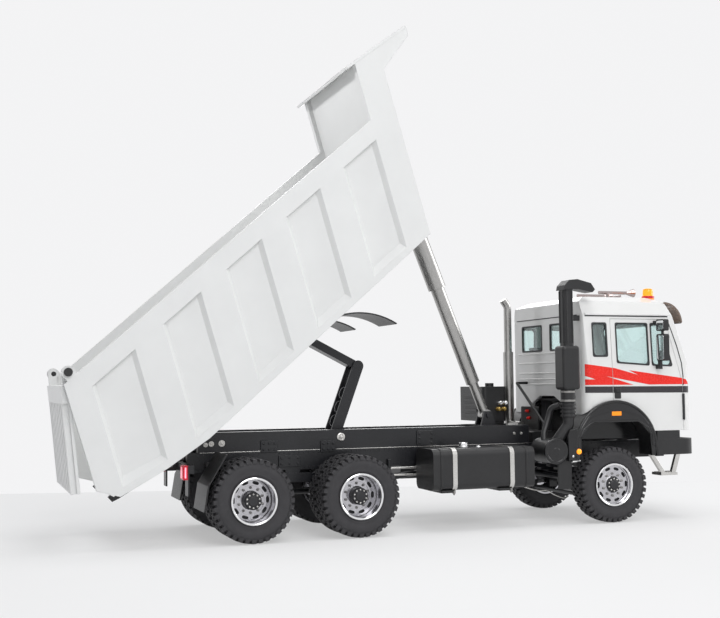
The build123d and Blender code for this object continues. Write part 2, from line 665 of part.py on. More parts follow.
# Bumper with lamps and long side returns, and the steps under it
LAMP_OUTER = 12.0
LAMP_LENGTH = 22.0
LAMP_Y = (CAB_HALF_WIDTH - LAMP_OUTER - LAMP_LENGTH, CAB_HALF_WIDTH - LAMP_OUTER)
LAMP_Z = (75.0, 86.5)
LAMP_DEPTH = 3.0
LAMP_FIT = 0.05
bumper_plan = Pos((BUMPER_FRONT_X - 120), 0) * RectangleRounded(240, 2 * CAB_HALF_WIDTH, 14)
bumper_hollow = Pos(BUMPER_FRONT_X - BUMPER_SHEET - 120, 0) * Rectangle(240, 2 * CAB_HALF_WIDTH - 9)
bumper = prism_z(bumper_plan - bumper_hollow, BUMPER_BOTTOM_Z, BUMPER_TOP_Z)
bumper -= box(0, BUMPER_RETURN_X, -200, 200, 0, 200)
side_panel = box(BUMPER_RETURN_X, BUMPER_FRONT_X - 22, CAB_HALF_WIDTH - 4.5, CAB_HALF_WIDTH - 0.5, BUMPER_TOP_Z - 1,
                 CAB_BOTTOM_Z - PANEL_GAP / 2)
bumper += both_sides(side_panel)
lamp_pocket = box(BUMPER_FRONT_X - LAMP_DEPTH, BUMPER_FRONT_X + 1, *LAMP_Y, *LAMP_Z)
bumper -= both_sides(lamp_pocket)
add("bumper", bumper)
lamp = box(BUMPER_FRONT_X - LAMP_DEPTH, BUMPER_FRONT_X - 0.3, LAMP_Y[0] + LAMP_FIT, LAMP_Y[1] - LAMP_FIT,
           LAMP_Z[0] + LAMP_FIT, LAMP_Z[1] - LAMP_FIT)
add("headlamps", *both_sides(lamp))
STEP_LENGTH = 22.0
STEP_X = (BUMPER_RETURN_X + 3, BUMPER_RETURN_X + 3 + STEP_LENGTH)
STEP_BOTTOM_Z = 49.0
STEP_DEPTH = 18.0
step_outer = CAB_HALF_WIDTH - 0.5
steps = box(*STEP_X, step_outer - STEP_DEPTH, step_outer, STEP_BOTTOM_Z, STEP_BOTTOM_Z + 2)
for x in STEP_X:
    inward = 2.5 if x == STEP_X[0] else -2.5
    x0, x1 = sorted((x, x + inward))
    steps += box(x0, x1, step_outer - 4, step_outer, STEP_BOTTOM_Z, BUMPER_BOTTOM_Z)
add("steps", *both_sides(steps))

# Front wheel arches, with mudguards and flaps behind the rearmost wheels
arch_top = make_face([
    ThreePointArc((FENDER_X - FENDER_RADIUS, FENDER_Z), (FENDER_X, FENDER_Z + FENDER_RADIUS),
                  (FENDER_X + FENDER_RADIUS, FENDER_Z)),
    Line((FENDER_X + FENDER_RADIUS, FENDER_Z), (FENDER_X + FENDER_RADIUS, FENDER_FOOT_Z)),
    Line((FENDER_X + FENDER_RADIUS, FENDER_FOOT_Z), (FENDER_X - FENDER_RADIUS, FENDER_FOOT_Z)),
    Line((FENDER_X - FENDER_RADIUS, FENDER_FOOT_Z), (FENDER_X - FENDER_RADIUS, FENDER_Z)),
])
arch_opening = outline([
    (FENDER_X - ARCH_HALF_LENGTH, FENDER_FOOT_Z - 1),
    (FENDER_X + ARCH_HALF_LENGTH, FENDER_FOOT_Z - 1),
    (FENDER_X + ARCH_HALF_LENGTH, ARCH_TOP_Z - ARCH_CHAMFER),
    (FENDER_X + ARCH_HALF_LENGTH - ARCH_CHAMFER, ARCH_TOP_Z),
    (FENDER_X - ARCH_HALF_LENGTH + ARCH_CHAMFER, ARCH_TOP_Z),
    (FENDER_X - ARCH_HALF_LENGTH, ARCH_TOP_Z - ARCH_CHAMFER),
])
arch = prism_y(arch_top, FENDER_INNER_Y, FENDER_OUTER_Y)
arch -= rod_y(FENDER_X, FENDER_Z, FENDER_RADIUS - FENDER_SHEET, 0, FENDER_OUTER_Y - FENDER_SHEET)
arch -= box(FENDER_X - FENDER_RADIUS + FENDER_SHEET, FENDER_X + FENDER_RADIUS - FENDER_SHEET, 0,
            FENDER_OUTER_Y - FENDER_SHEET, 0, FENDER_Z)
arch -= prism_y(arch_opening, 0, FENDER_OUTER_Y + 1)
GUARD_SHEET = 1.5
GUARD_INNER_Y = 37.0
GUARD_OUTER_Y = 87.0
guard_line = [(-26.0, 88.0), (-44.0, 58.0), (-48.0, 33.0)]
guard = outline(guard_line + [(x - GUARD_SHEET, z) for x, z in reversed(guard_line)])
rear_guard = prism_y(guard, GUARD_INNER_Y, GUARD_OUTER_Y)
rear_guard += rod_y(-35.0, 75.0, 2.5, RAIL_OUTER_Y, GUARD_INNER_Y + 3)
add("fenders", *both_sides(arch), *both_sides(rear_guard))

# Tail: lamp bar with hanging plates and a tow jaw with a bore for its pin
BAR_X = (-61.0, RAIL_REAR_X)
BAR_Z = (69.0, 77.0)
BAR_HALF = 68.0
TAIL_LAMP_Y = (53.0, 67.0)
TAIL_LAMP_Z = (63.0, 77.0)
TAIL_LAMP_DEPTH = 4.0
TOW_BORE_RADIUS = 2.0
TOW_X = -70.0
tail = box(*BAR_X, -BAR_HALF, BAR_HALF, *BAR_Z)
plate = box(BAR_X[0], BAR_X[0] + 1.5, *TAIL_LAMP_Y, 47, BAR_Z[0] + 1)
tail += both_sides(plate)
jaw = box(TOW_X - 6, BAR_X[0], -7, 7, BAR_Z[0] - 1, BAR_Z[1] + 1)
jaw -= box(TOW_X - 7, TOW_X + 5, -8, 8, BAR_Z[0] + 2.5, BAR_Z[1] - 2.5)
jaw -= rod_z(TOW_X, 0, TOW_BORE_RADIUS, 0, 200)
tail += jaw
add("tail_bar", tail)
tail_lamp = box(BAR_X[0] - TAIL_LAMP_DEPTH, BAR_X[0], *TAIL_LAMP_Y, *TAIL_LAMP_Z)
add("tail_lamps", *both_sides(tail_lamp))

# Cab: one hollow form, split into the panels
ROOF_EDGE_Z = CAB_ROOF_Z - 6
BELOW = 20.0


def cab_form(inset):
    side = outline([
        (CAB_REAR_X, CAB_BOTTOM_Z - BELOW),
        (CAB_FRONT_X, CAB_BOTTOM_Z - BELOW),
        (CAB_FRONT_X, CAB_WAIST_Z),
        (CAB_BROW_X, CAB_GUTTER_Z),
        (CAB_BROW_X - 7, ROOF_EDGE_Z),
        (CAB_BROW_X - 22, CAB_ROOF_Z),
        (CAB_REAR_X + 12, CAB_ROOF_Z),
        (CAB_REAR_X, ROOF_EDGE_Z),
    ])
    front = outline([
        (-CAB_HALF_WIDTH, CAB_BOTTOM_Z - BELOW),
        (CAB_HALF_WIDTH, CAB_BOTTOM_Z - BELOW),
        (CAB_HALF_WIDTH, CAB_WAIST_Z),
        (CAB_GUTTER_HALF_WIDTH, CAB_GUTTER_Z),
        (CAB_GUTTER_HALF_WIDTH - 5, ROOF_EDGE_Z),
        (CAB_ROOF_HALF_WIDTH, CAB_ROOF_Z),
        (-CAB_ROOF_HALF_WIDTH, CAB_ROOF_Z),
        (-CAB_GUTTER_HALF_WIDTH + 5, ROOF_EDGE_Z),
        (-CAB_GUTTER_HALF_WIDTH, CAB_GUTTER_Z),
        (-CAB_HALF_WIDTH, CAB_WAIST_Z),
    ])
    if inset > 0:
        side = offset(side, -inset, kind=Kind.INTERSECTION)
        front = offset(front, -inset, kind=Kind.INTERSECTION)
    form = prism_y(side, -CAB_HALF_WIDTH - 9, CAB_HALF_WIDTH + 9) & prism_x(front, CAB_REAR_X - 9, CAB_FRONT_X + 9)
    plan = Pos((CAB_REAR_X + CAB_FRONT_X) / 2, 0) * RectangleRounded(
        CAB_FRONT_X - CAB_REAR_X - 2 * inset, 2 * (CAB_HALF_WIDTH - inset), CAB_CORNER - inset / 2
    )
    return form & prism_z(plan, 0, 2 * CAB_ROOF_Z)


cab_outer = cab_form(0)
cab_shell = cab_outer - cab_form(CAB_SHEET)
cab_shell -= box(CAB_REAR_X - 9, CAB_FRONT_X + 9, -2 * CAB_HALF_WIDTH, 2 * CAB_HALF_WIDTH, 0, CAB_BOTTOM_Z)
cab_shell -= [
    rod_y(FENDER_X, FENDER_Z, FENDER_RADIUS + PANEL_GAP, FENDER_INNER_Y - 6, 120),
    rod_y(FENDER_X, FENDER_Z, FENDER_RADIUS + PANEL_GAP, -120, -FENDER_INNER_Y + 6),
]
pane_band = cab_form(1.2) - cab_form(1.2 + GLASS)

WINDOW_ROUND = 2.0
QUARTER_LIGHT = 41.0
QUARTER_BAR_X = DOOR_FRONT_X - QUARTER_LIGHT
BAR_HALF_WIDTH = 1.6
door_window = outline([
    (DOOR_REAR_X + 6, WINDOW_SILL_Z + 3),
    (QUARTER_BAR_X - BAR_HALF_WIDTH, WINDOW_SILL_Z),
    (QUARTER_BAR_X - BAR_HALF_WIDTH, WINDOW_TOP_Z),
    (DOOR_REAR_X + 6, WINDOW_TOP_Z),
], WINDOW_ROUND)
quarter_light = outline([
    (QUARTER_BAR_X + BAR_HALF_WIDTH, WINDOW_SILL_Z),
    (DOOR_FRONT_X - 12, WINDOW_SILL_Z - 1),
    (DOOR_TOP_FRONT_X - 5, WINDOW_TOP_Z),
    (QUARTER_BAR_X + BAR_HALF_WIDTH, WINDOW_TOP_Z),
], WINDOW_ROUND)
REAR_QUARTER_SILL_Z = 182.0
rear_quarter = outline([
    (CAB_REAR_X + 12, REAR_QUARTER_SILL_Z),
    (DOOR_REAR_X - 5, REAR_QUARTER_SILL_Z),
    (DOOR_REAR_X - 5, WINDOW_TOP_Z),
    (CAB_REAR_X + 12, WINDOW_TOP_Z),
], WINDOW_ROUND)


def through_side(face, side):
    # A cutter through one side wall of the cab.
    return prism_y(face, *sorted((side * CAB_HALF_WIDTH * 0.7, side * CAB_HALF_WIDTH * 1.4)))


side_holes = {side: [through_side(face, side) for face in (door_window, quarter_light)] for side in (1, -1)}
quarter_holes = [through_side(rear_quarter, side) for side in (1, -1)]
REAR_WINDOW_Y = (9.0, CAB_HALF_WIDTH - 26)
REAR_WINDOW_Z = (190.5, 221.5)
TUNNEL_TOP_Z = 138.5
rear_window = fillet(
    box(CAB_REAR_X - 5, CAB_REAR_X + 20, *REAR_WINDOW_Y, *REAR_WINDOW_Z).edges().filter_by(Axis.X), WINDOW_ROUND
)
rear_holes = both_sides(rear_window)
tunnel = prism_x(outline([
    (-47, 0),
    (47, 0),
    (47, TUNNEL_TOP_Z - 26),
    (34, TUNNEL_TOP_Z - 8),
    (16, TUNNEL_TOP_Z),
    (-16, TUNNEL_TOP_Z),
    (-34, TUNNEL_TOP_Z - 8),
    (-47, TUNNEL_TOP_Z - 26),
]), CAB_REAR_X - 5, CAB_REAR_X + 12)
screen_hole = prism_x(outline([
    (-CAB_HALF_WIDTH + SCREEN_POST, CAB_WAIST_Z + 5),
    (CAB_HALF_WIDTH - SCREEN_POST, CAB_WAIST_Z + 5),
    (CAB_GUTTER_HALF_WIDTH - SCREEN_POST, CAB_GUTTER_Z - 7),
    (-CAB_GUTTER_HALF_WIDTH + SCREEN_POST, CAB_GUTTER_Z - 7),
], 4), CAB_BROW_X - 22, CAB_FRONT_X + 9)

door_face = outline([
    (DOOR_REAR_X, CAB_BOTTOM_Z - 5),
    (DOOR_FRONT_X, CAB_BOTTOM_Z - 5),
    (DOOR_FRONT_X, DOOR_RAKE_Z),
    (DOOR_TOP_FRONT_X, DOOR_TOP_Z),
    (DOOR_REAR_X, DOOR_TOP_Z),
])
door_room = offset(door_face, PANEL_GAP, kind=Kind.INTERSECTION)
front_face = outline([
    (DOOR_FRONT_X, 0),
    (CAB_FRONT_X + 20, 0),
    (CAB_FRONT_X + 20, CAB_GUTTER_Z),
    (DOOR_TOP_FRONT_X - 1, CAB_GUTTER_Z),
    (DOOR_TOP_FRONT_X, DOOR_TOP_Z),
    (DOOR_FRONT_X, DOOR_RAKE_Z),
])
WIDE = 2 * CAB_HALF_WIDTH
roof_zone = box(0, 2 * CAB_FRONT_X, -WIDE, WIDE, CAB_GUTTER_Z, 2 * CAB_ROOF_Z)
rear_zone = box(0, CAB_REAR_X + CAB_CORNER, -WIDE, WIDE, 0, CAB_GUTTER_Z)
front_zone = prism_y(front_face, -WIDE, WIDE)
door_rooms = [through_side(door_room, side) for side in (1, -1)]

# Hinge barrels at the front edge of the doors
DOOR_BARREL_RADIUS = 1.3
DOOR_BARREL_Z = (111.0, 140.0)
DOOR_BARREL_OUT = 0.5
door_axis = (DOOR_FRONT_X + DOOR_BARREL_OUT, CAB_HALF_WIDTH + DOOR_BARREL_OUT)
door_barrel = rod_z(*door_axis, DOOR_BARREL_RADIUS, *DOOR_BARREL_Z)
barrel_room = rod_z(*door_axis, DOOR_BARREL_RADIUS + PANEL_GAP, DOOR_BARREL_Z[0] - PANEL_GAP, DOOR_BARREL_Z[1] + PANEL_GAP)
add("cab_roof", cab_shell & roof_zone)
add("cab_rear", (cab_shell & rear_zone) - rear_holes - tunnel)
add("cab_front", (cab_shell & front_zone) - roof_zone - door_rooms - screen_hole - both_sides(barrel_room))
cab_sides = cab_shell - roof_zone - rear_zone - front_zone - door_rooms - quarter_holes
add("cab_sides", *[s for s in cab_sides.solids() if s.volume > 50])
panes = [pane_band & hole for hole in quarter_holes + rear_holes + [screen_hole]]
add("cab_glass", *panes)
for name, side in (("left", 1), ("right", -1)):
    door = (cab_shell & through_side(door_face, side)) - side_holes[side]
    door += door_barrel if side == 1 else mirrored(door_barrel)
    add(f"door_{name}", door)
    add(f"door_{name}_glass", *[pane_band & hole for hole in side_holes[side]])

# Mirrors on the doors
MIRROR_BACK = 36.0
MIRROR_DEPTH = 6.5
MIRROR_X = (DOOR_FRONT_X - MIRROR_BACK, DOOR_FRONT_X - MIRROR_BACK + MIRROR_DEPTH)
MIRROR_Z = (177.0, 207.0)
MIRROR_GAP = 4.0
MIRROR_WIDTH = 15.0
MIRROR_OUT = (CAB_HALF_WIDTH + MIRROR_GAP, CAB_HALF_WIDTH + MIRROR_GAP + MIRROR_WIDTH)
SMALL_MIRROR_Z = (210.5, 223.5)
MIRROR_ROUND = 2.5
mirror_head = fillet(box(*MIRROR_X, *MIRROR_OUT, *MIRROR_Z).edges().filter_by(Axis.X), MIRROR_ROUND)
mirror_head += fillet(box(*MIRROR_X, *MIRROR_OUT, *SMALL_MIRROR_Z).edges().filter_by(Axis.X), MIRROR_ROUND)
mirror_mid_y = sum(MIRROR_OUT) / 2
mirror_mid_x = sum(MIRROR_X) / 2
mirror_head += rod_z(mirror_mid_x, mirror_mid_y, 1.5, MIRROR_Z[1] - 1, SMALL_MIRROR_Z[0] + 1)
mirror_arm = box(mirror_mid_x - 2, mirror_mid_x + 2, CAB_GUTTER_HALF_WIDTH, MIRROR_OUT[0] + 2, MIRROR_Z[0] - 9,
                 MIRROR_Z[0] - 5)
mirror_arm += box(mirror_mid_x - 2, mirror_mid_x + 2, MIRROR_OUT[0], MIRROR_OUT[0] + 3, MIRROR_Z[0] - 9, MIRROR_Z[0] + 4)
mirror_arm += box(mirror_mid_x - 2, mirror_mid_x + 2, CAB_GUTTER_HALF_WIDTH - 3, MIRROR_OUT[0] + 2, SMALL_MIRROR_Z[1] - 4,
                  SMALL_MIRROR_Z[1] - 1)
mirror_arm -= cab_outer
mirror_piece = mirror_head + mirror_arm
add("door_left_mirror", mirror_piece)
add("door_right_mirror", mirrored(mirror_piece))

# Cab interior: floor on posts, seats, dashboard and steering wheel
SEAT_Y = 40.0
SEAT_HALF = 20.0
SEAT_X = (CAB_REAR_X + 18, CAB_REAR_X + 58)
floor_half = CAB_HALF_WIDTH - CAB_SHEET - 1
interior = box(CAB_REAR_X, CAB_FRONT_X, -floor_half, floor_half, CAB_FLOOR_Z, CAB_FLOOR_Z + CAB_FLOOR_SHEET)
interior &= cab_form(CAB_SHEET + PANEL_GAP / 2)
floor_top = CAB_FLOOR_Z + CAB_FLOOR_SHEET
for x in (CAB_REAR_X + 14, CAB_BROW_X):
    post = box(x - 4, x + 4, RAIL_OUTER_Y - RAIL_FLANGE, RAIL_OUTER_Y, RAIL_TOP_Z, CAB_FLOOR_Z + 1)
    interior += both_sides(post)
for y in (-SEAT_Y, SEAT_Y):
    seat = box(*SEAT_X, y - SEAT_HALF, y + SEAT_HALF, floor_top - 1, floor_top + 16)
    back = box(SEAT_X[0], SEAT_X[0] + 9, y - SEAT_HALF, y + SEAT_HALF, floor_top + 10, floor_top + 62)
    interior += turned(back, SEAT_X[0] + 9, floor_top + 10, -8)
    interior += seat
dash = outline([
    (CAB_FRONT_X - CAB_SHEET - 0.3, floor_top - 1),
    (CAB_FRONT_X - CAB_SHEET - 0.3, CAB_WAIST_Z - 1),
    (CAB_FRONT_X - 26, CAB_WAIST_Z + 3),
    (CAB_FRONT_X - 30, CAB_WAIST_Z - 6),
    (CAB_FRONT_X - 22, floor_top - 1),
])
interior += prism_y(dash, -floor_half + 6, floor_half - 6)
wheel_plane = Plane((CAB_FRONT_X - 42, SEAT_Y, CAB_WAIST_Z + 10), z_dir=(-0.55, 0, 0.83))
interior += wheel_plane * Torus(14, 1.6)
interior += wheel_plane * Box(26, 3, 2)
interior += rod_between((CAB_FRONT_X - 42, SEAT_Y, CAB_WAIST_Z + 10), (CAB_FRONT_X - 26, SEAT_Y, CAB_WAIST_Z - 12), 2)
add("cab_interior", interior)

# Cab front grille, sun visor, horns on a rail, amber lamps
GRILLE_HALF = 62.0
GRILLE_Z = (103.0, 140.0)
GRILLE_SHEET = 2.5
GRILLE_SLOTS = 4
grille = box(CAB_FRONT_X, CAB_FRONT_X + GRILLE_SHEET, -GRILLE_HALF, GRILLE_HALF, *GRILLE_Z)
slot_pitch = (GRILLE_Z[1] - GRILLE_Z[0] - 4) / GRILLE_SLOTS
for i in range(GRILLE_SLOTS):
    low = GRILLE_Z[0] + 4 + slot_pitch * i
    grille -= box(CAB_FRONT_X + 1, CAB_FRONT_X + 9, -GRILLE_HALF + 4, GRILLE_HALF - 4, low, low + slot_pitch - 4)
add("grille", grille)
VISOR_FOOT = (CAB_BROW_X - 6.5, CAB_ROOF_Z - 5.5)
VISOR_CROWN = (CAB_BROW_X + 5.5, CAB_ROOF_Z - 9)
VISOR_TIP = (CAB_BROW_X + 17, CAB_GUTTER_Z - 7)
VISOR_SHEET = 1.8


def inward(point, by):
    return (point[0] - by * 0.8, point[1] - by)


visor = make_face([
    ThreePointArc(VISOR_FOOT, VISOR_CROWN, VISOR_TIP),
    Line(VISOR_TIP, inward(VISOR_TIP, VISOR_SHEET)),
    ThreePointArc(inward(VISOR_TIP, VISOR_SHEET), inward(VISOR_CROWN, VISOR_SHEET), inward(VISOR_FOOT, VISOR_SHEET)),
    Line(inward(VISOR_FOOT, VISOR_SHEET), VISOR_FOOT),
])
visor_piece = prism_y(visor, -CAB_GUTTER_HALF_WIDTH + 4, CAB_GUTTER_HALF_WIDTH - 4) - cab_outer
add("sun_visor", *[s for s in visor_piece.solids() if s.volume > 50])
HORN_X = (CAB_BROW_X - 60, CAB_BROW_X - 22)
HORN_Z = CAB_ROOF_Z + 8.5
HORN_Y = 24.0
HORN_RAIL_X = CAB_BROW_X - 48
HORN_RAIL_HALF = 46.0
horns = rod_y(HORN_RAIL_X, CAB_ROOF_Z + 2.5, 1.5, -HORN_RAIL_HALF - 4, HORN_RAIL_HALF + 4)
for y in (-HORN_RAIL_HALF, HORN_RAIL_HALF):
    horns += rod_z(HORN_RAIL_X, y, 2.5, CAB_ROOF_Z, CAB_ROOF_Z + 3)
for y in (-HORN_Y, HORN_Y):
    horns += rod_x(y, HORN_Z, 2, *HORN_X)
    horns += Pos(HORN_X[1] + 4, y, HORN_Z) * Rot(0, 90, 0) * Cone(2, 5, 10)
    horns += rod_z(HORN_RAIL_X, y, 2, CAB_ROOF_Z, HORN_Z)
add("air_horns", horns)
BEACON_X = CAB_BROW_X - 15.5
BEACON_Y = -CAB_ROOF_HALF_WIDTH + 5
BEACON_TOP_Z = 260.0
beacon = rod_z(BEACON_X, BEACON_Y, 7, CAB_ROOF_Z - 8, CAB_ROOF_Z + 2)
beacon += rod_z(BEACON_X, BEACON_Y, 5.5, CAB_ROOF_Z, BEACON_TOP_Z)
beacon -= cab_outer
marker = box(FENDER_X - 6, FENDER_X + 6, FENDER_OUTER_Y, FENDER_OUTER_Y + 1.2, 117, 121.5)
turn_lamp = rod_y(FENDER_X - FENDER_RADIUS + 3.4, FENDER_Z - 2, 3, FENDER_OUTER_Y, FENDER_OUTER_Y + 1.5)
add("amber_lamps", beacon, *both_sides(marker), *both_sides(turn_lamp))

# Bed, modelled lowered
RAKE = math.tan(math.radians(BED_RAKE))
bed_inner_y = BED_SIDE_OUTER_Y - BED_SIDE_THICKNESS
post_front_foot_x = BED_POST_FOOT_X + BED_POST_WIDTH
tail_line = [
    (BED_TAIL_START_X, BED_BOTTOM_Z),
    (BED_TAIL_KNEE_X, BED_BOTTOM_Z + BED_TAIL_KNEE_RISE),
    (BED_TAIL_END_X, BED_BOTTOM_Z + BED_TAIL_END_RISE),
]
canopy_slope = (CANOPY_TIP_Z - CANOPY_REAR_Z) / (CANOPY_TIP_X - CANOPY_REAR_X)


def along_post(z, foot_x):
    return foot_x + (z - BED_BOTTOM_Z) * RAKE


def canopy_under(foot_x):
    # Where a raked line from the bed's bottom meets the underside of the canopy plate.
    low_z = CANOPY_REAR_Z - CANOPY_SHEET
    rise = (low_z + canopy_slope * (foot_x - CANOPY_REAR_X) - BED_BOTTOM_Z) / (1 - canopy_slope * RAKE)
    return (foot_x + rise * RAKE, BED_BOTTOM_Z + rise)


def floor_line(x):
    # Height of the bed's lower edge, which sweeps up to the tail.
    if x >= BED_TAIL_START_X:
        return BED_BOTTOM_Z
    for (x0, z0), (x1, z1) in zip(tail_line, tail_line[1:]):
        if x >= x1:
            break
    return z0 + (z1 - z0) * (x - x0) / (x1 - x0)


side_face = outline([
    (post_front_foot_x, BED_BOTTOM_Z),
    (along_post(CANOPY_KINK_Z, post_front_foot_x), CANOPY_KINK_Z),
    (CANOPY_TIP_X - 4, CANOPY_TIP_Z - CANOPY_SHEET - CANOPY_LIP),
    (CANOPY_TIP_X, CANOPY_TIP_Z - CANOPY_SHEET),
    canopy_under(BED_POST_FOOT_X),
    (along_post(BED_TOP_Z, BED_POST_FOOT_X), BED_TOP_Z),
    (BED_REAR_TOP_X, BED_TOP_Z),
    (BED_CORNER_X, BED_BOTTOM_Z + BED_CORNER_RISE),
] + tail_line[::-1])
side_wall = prism_y(side_face, bed_inner_y, BED_SIDE_OUTER_Y)
side_wall += rod_y(GATE_PIVOT_X, GATE_PIVOT_Z, GATE_EAR, bed_inner_y, BED_SIDE_OUTER_Y)
side_wall += box(GATE_PIVOT_X - GATE_EAR, GATE_PIVOT_X + GATE_EAR, bed_inner_y, BED_SIDE_OUTER_Y, BED_TOP_Z - 1,
                 GATE_PIVOT_Z)


def pocket_face(x, flank, ledge):
    # A raked panel pressed into the wall, its foot following the lower edge.
    top = BED_TOP_Z - BED_RAIL_HEIGHT
    feet, heads = [], []
    for foot, inward in ((x, flank), (x + POCKET_WIDTH, -flank)):
        low = floor_line(foot) + POCKET_SILL
        feet.append((foot + inward + ledge * RAKE, low + ledge))
        heads.append((foot + inward + (top - low) * RAKE, top))
    return outline(feet + heads[::-1])


def at_y(face, y):
    return Plane((0, y, 0), x_dir=(1, 0, 0), z_dir=(0, -1, 0)) * face


for i in range(POCKET_COUNT):
    x = POCKET_FIRST_X + POCKET_PITCH * i
    pocket = loft([
        at_y(pocket_face(x, 0, 0), BED_SIDE_OUTER_Y + 0.001),
        at_y(pocket_face(x, POCKET_FLANK, POCKET_LEDGE), BED_SIDE_OUTER_Y - POCKET_DEPTH),
    ], ruled=True)
    side_wall -= pocket
add("bed_sides", *raised(*both_sides(side_wall)))

headboard_foot_x = BED_POST_FOOT_X + HEADBOARD_SETBACK
front_wall = outline([
    (headboard_foot_x, BED_BOTTOM_Z),
    (headboard_foot_x + HEADBOARD_SHEET, BED_BOTTOM_Z),
    canopy_under(headboard_foot_x + HEADBOARD_SHEET),
    canopy_under(headboard_foot_x),
])
canopy = outline([
    (CANOPY_REAR_X, CANOPY_REAR_Z - CANOPY_SHEET),
    (CANOPY_TIP_X, CANOPY_TIP_Z - CANOPY_SHEET),
    (CANOPY_TIP_X, CANOPY_TIP_Z),
    (CANOPY_REAR_X, CANOPY_REAR_Z),
])
headboard = prism_y(front_wall, -bed_inner_y, bed_inner_y)
headboard += prism_y(canopy, -BED_SIDE_OUTER_Y, BED_SIDE_OUTER_Y)
LIFT_EAR_SHEET = 3.0
LIFT_EAR_DROP = 5.0
wall_at_lift = along_post(LIFT_TOP_Z, headboard_foot_x + HEADBOARD_SHEET)
lift_ear = outline([
    (wall_at_lift - 1 - LIFT_EAR_DROP * RAKE, LIFT_TOP_Z - LIFT_EAR_DROP),
    (LIFT_TOP_X + 2, LIFT_TOP_Z - LIFT_EAR_DROP),
    (LIFT_TOP_X + 5, LIFT_TOP_Z),
    (LIFT_TOP_X + 2, LIFT_TOP_Z + LIFT_EAR_DROP),
    (wall_at_lift - 1 + 16 * RAKE, LIFT_TOP_Z + 16),
])
for side in (1, -1):
    headboard += prism_y(lift_ear, *sorted((side * ear_in, side * (ear_in + LIFT_EAR_SHEET))))
headboard += rod_y(LIFT_TOP_X, LIFT_TOP_Z, LIFT_PIN_RADIUS, -ear_in - LIFT_EAR_SHEET - 2, ear_in + LIFT_EAR_SHEET + 2)
add("bed_headboard", *raised(headboard))

floor_top_line = [(x, z + BED_FLOOR) for x, z in tail_line]
floor = prism_y(outline(tail_line[::-1] + [
    (headboard_foot_x, BED_BOTTOM_Z),
    (headboard_foot_x + BED_FLOOR * RAKE, BED_BOTTOM_Z + BED_FLOOR),
] + floor_top_line), -bed_inner_y, bed_inner_y)
sill_bottom = SUBFRAME_TOP_Z + SILL_GAP
sill = box(SILL_REAR_X, headboard_foot_x, SILL_INNER_Y, SILL_INNER_Y + SILL_WIDTH, sill_bottom, BED_BOTTOM_Z + 1)
floor += both_sides(sill)
LUG_OUTER_Y = 20.5
LUG_SHEET = 6.0
LUG_RADIUS = 7.0
lug_face = outline([
    (HINGE_X - LUG_RADIUS, HINGE_Z),
    (HINGE_X + LUG_RADIUS, HINGE_Z),
    (HINGE_X + 2 * LUG_RADIUS, BED_BOTTOM_Z + 1),
    (HINGE_X - LUG_RADIUS, BED_BOTTOM_Z + 1),
])
hinge_lug = prism_y(lug_face, LUG_OUTER_Y - LUG_SHEET, LUG_OUTER_Y)
hinge_lug += rod_y(HINGE_X, HINGE_Z, LUG_RADIUS, LUG_OUTER_Y - LUG_SHEET, LUG_OUTER_Y)
hinge_lug -= rod_y(HINGE_X, HINGE_Z, HINGE_PIN_RADIUS + RUNNING_FIT, 0, 40)
floor += both_sides(hinge_lug)
HEAD_EAR_SHEET = 3.0
head_ear = outline([
    (SCISSOR_HEAD_X - 5, SCISSOR_HEAD_Z - 5),
    (SCISSOR_HEAD_X + 5, SCISSOR_HEAD_Z - 5),
    (SCISSOR_HEAD_X + 8, BED_BOTTOM_Z + 1),
    (SCISSOR_HEAD_X - 8, BED_BOTTOM_Z + 1),
])
scissor_in = SCISSOR_HALF_WIDTH - SCISSOR_SHEET - SCISSOR_PLAY
ear_y = SCISSOR_HALF_WIDTH + SCISSOR_PLAY
ear_end_y = ear_y + HEAD_EAR_SHEET
ear_plate = prism_y(head_ear, ear_y, ear_end_y)
ear_plate += rod_y(SCISSOR_HEAD_X, SCISSOR_HEAD_Z, SCISSOR_PIN_RADIUS, ear_end_y - 1, ear_end_y + 1.5)
floor += both_sides(ear_plate)
add("bed_floor", *raised(floor))

# Black fittings on the bed: pivot knobs and pins of the gate, latch hooks and the front mudguards
KNOB_RADIUS = 4.0
KNOB_HEIGHT = 3.0
PIN_REACH = 8.0
HOOK_Y = (60.0, 64.0)
HOOK_LENGTH = 22.0
BED_GUARD_RADIUS = 79.5
BED_GUARD_FROM = 18.0
BED_GUARD_INNER_Y = 38.0
knob = rod_y(GATE_PIVOT_X, GATE_PIVOT_Z, KNOB_RADIUS, BED_SIDE_OUTER_Y, BED_SIDE_OUTER_Y + KNOB_HEIGHT)
pin = rod_y(GATE_PIVOT_X, GATE_PIVOT_Z, GATE_PIN_RADIUS, bed_inner_y - PIN_REACH, bed_inner_y)
tail_x, tail_z = tail_line[-1]
hook_root_x = tail_x + HOOK_LENGTH
hook = prism_y(outline([
    (hook_root_x, floor_line(hook_root_x)),
    (tail_x, tail_z),
    (tail_x - 3.5, tail_z),
    (tail_x - 5, tail_z + 4),
    (tail_x - 8, tail_z + 4),
    (tail_x - 8, tail_z - 2),
    (tail_x - 1, tail_z - 4),
    (hook_root_x, floor_line(hook_root_x) - 3.5),
]), *HOOK_Y)
guard_plate = rod_y(MIDDLE_AXLE_X, TYRE_RADIUS, BED_GUARD_RADIUS, BED_GUARD_INNER_Y, BED_SIDE_OUTER_Y)
guard_plate -= rod_y(MIDDLE_AXLE_X, TYRE_RADIUS, BED_GUARD_RADIUS - GUARD_SHEET, 0, 200)
guard_low_z = TYRE_RADIUS + BED_GUARD_RADIUS * math.sin(math.radians(BED_GUARD_FROM))
guard_plate &= box(MIDDLE_AXLE_X, MIDDLE_AXLE_X + 2 * BED_GUARD_RADIUS, 0, 200, guard_low_z, BED_BOTTOM_Z)
fittings = []
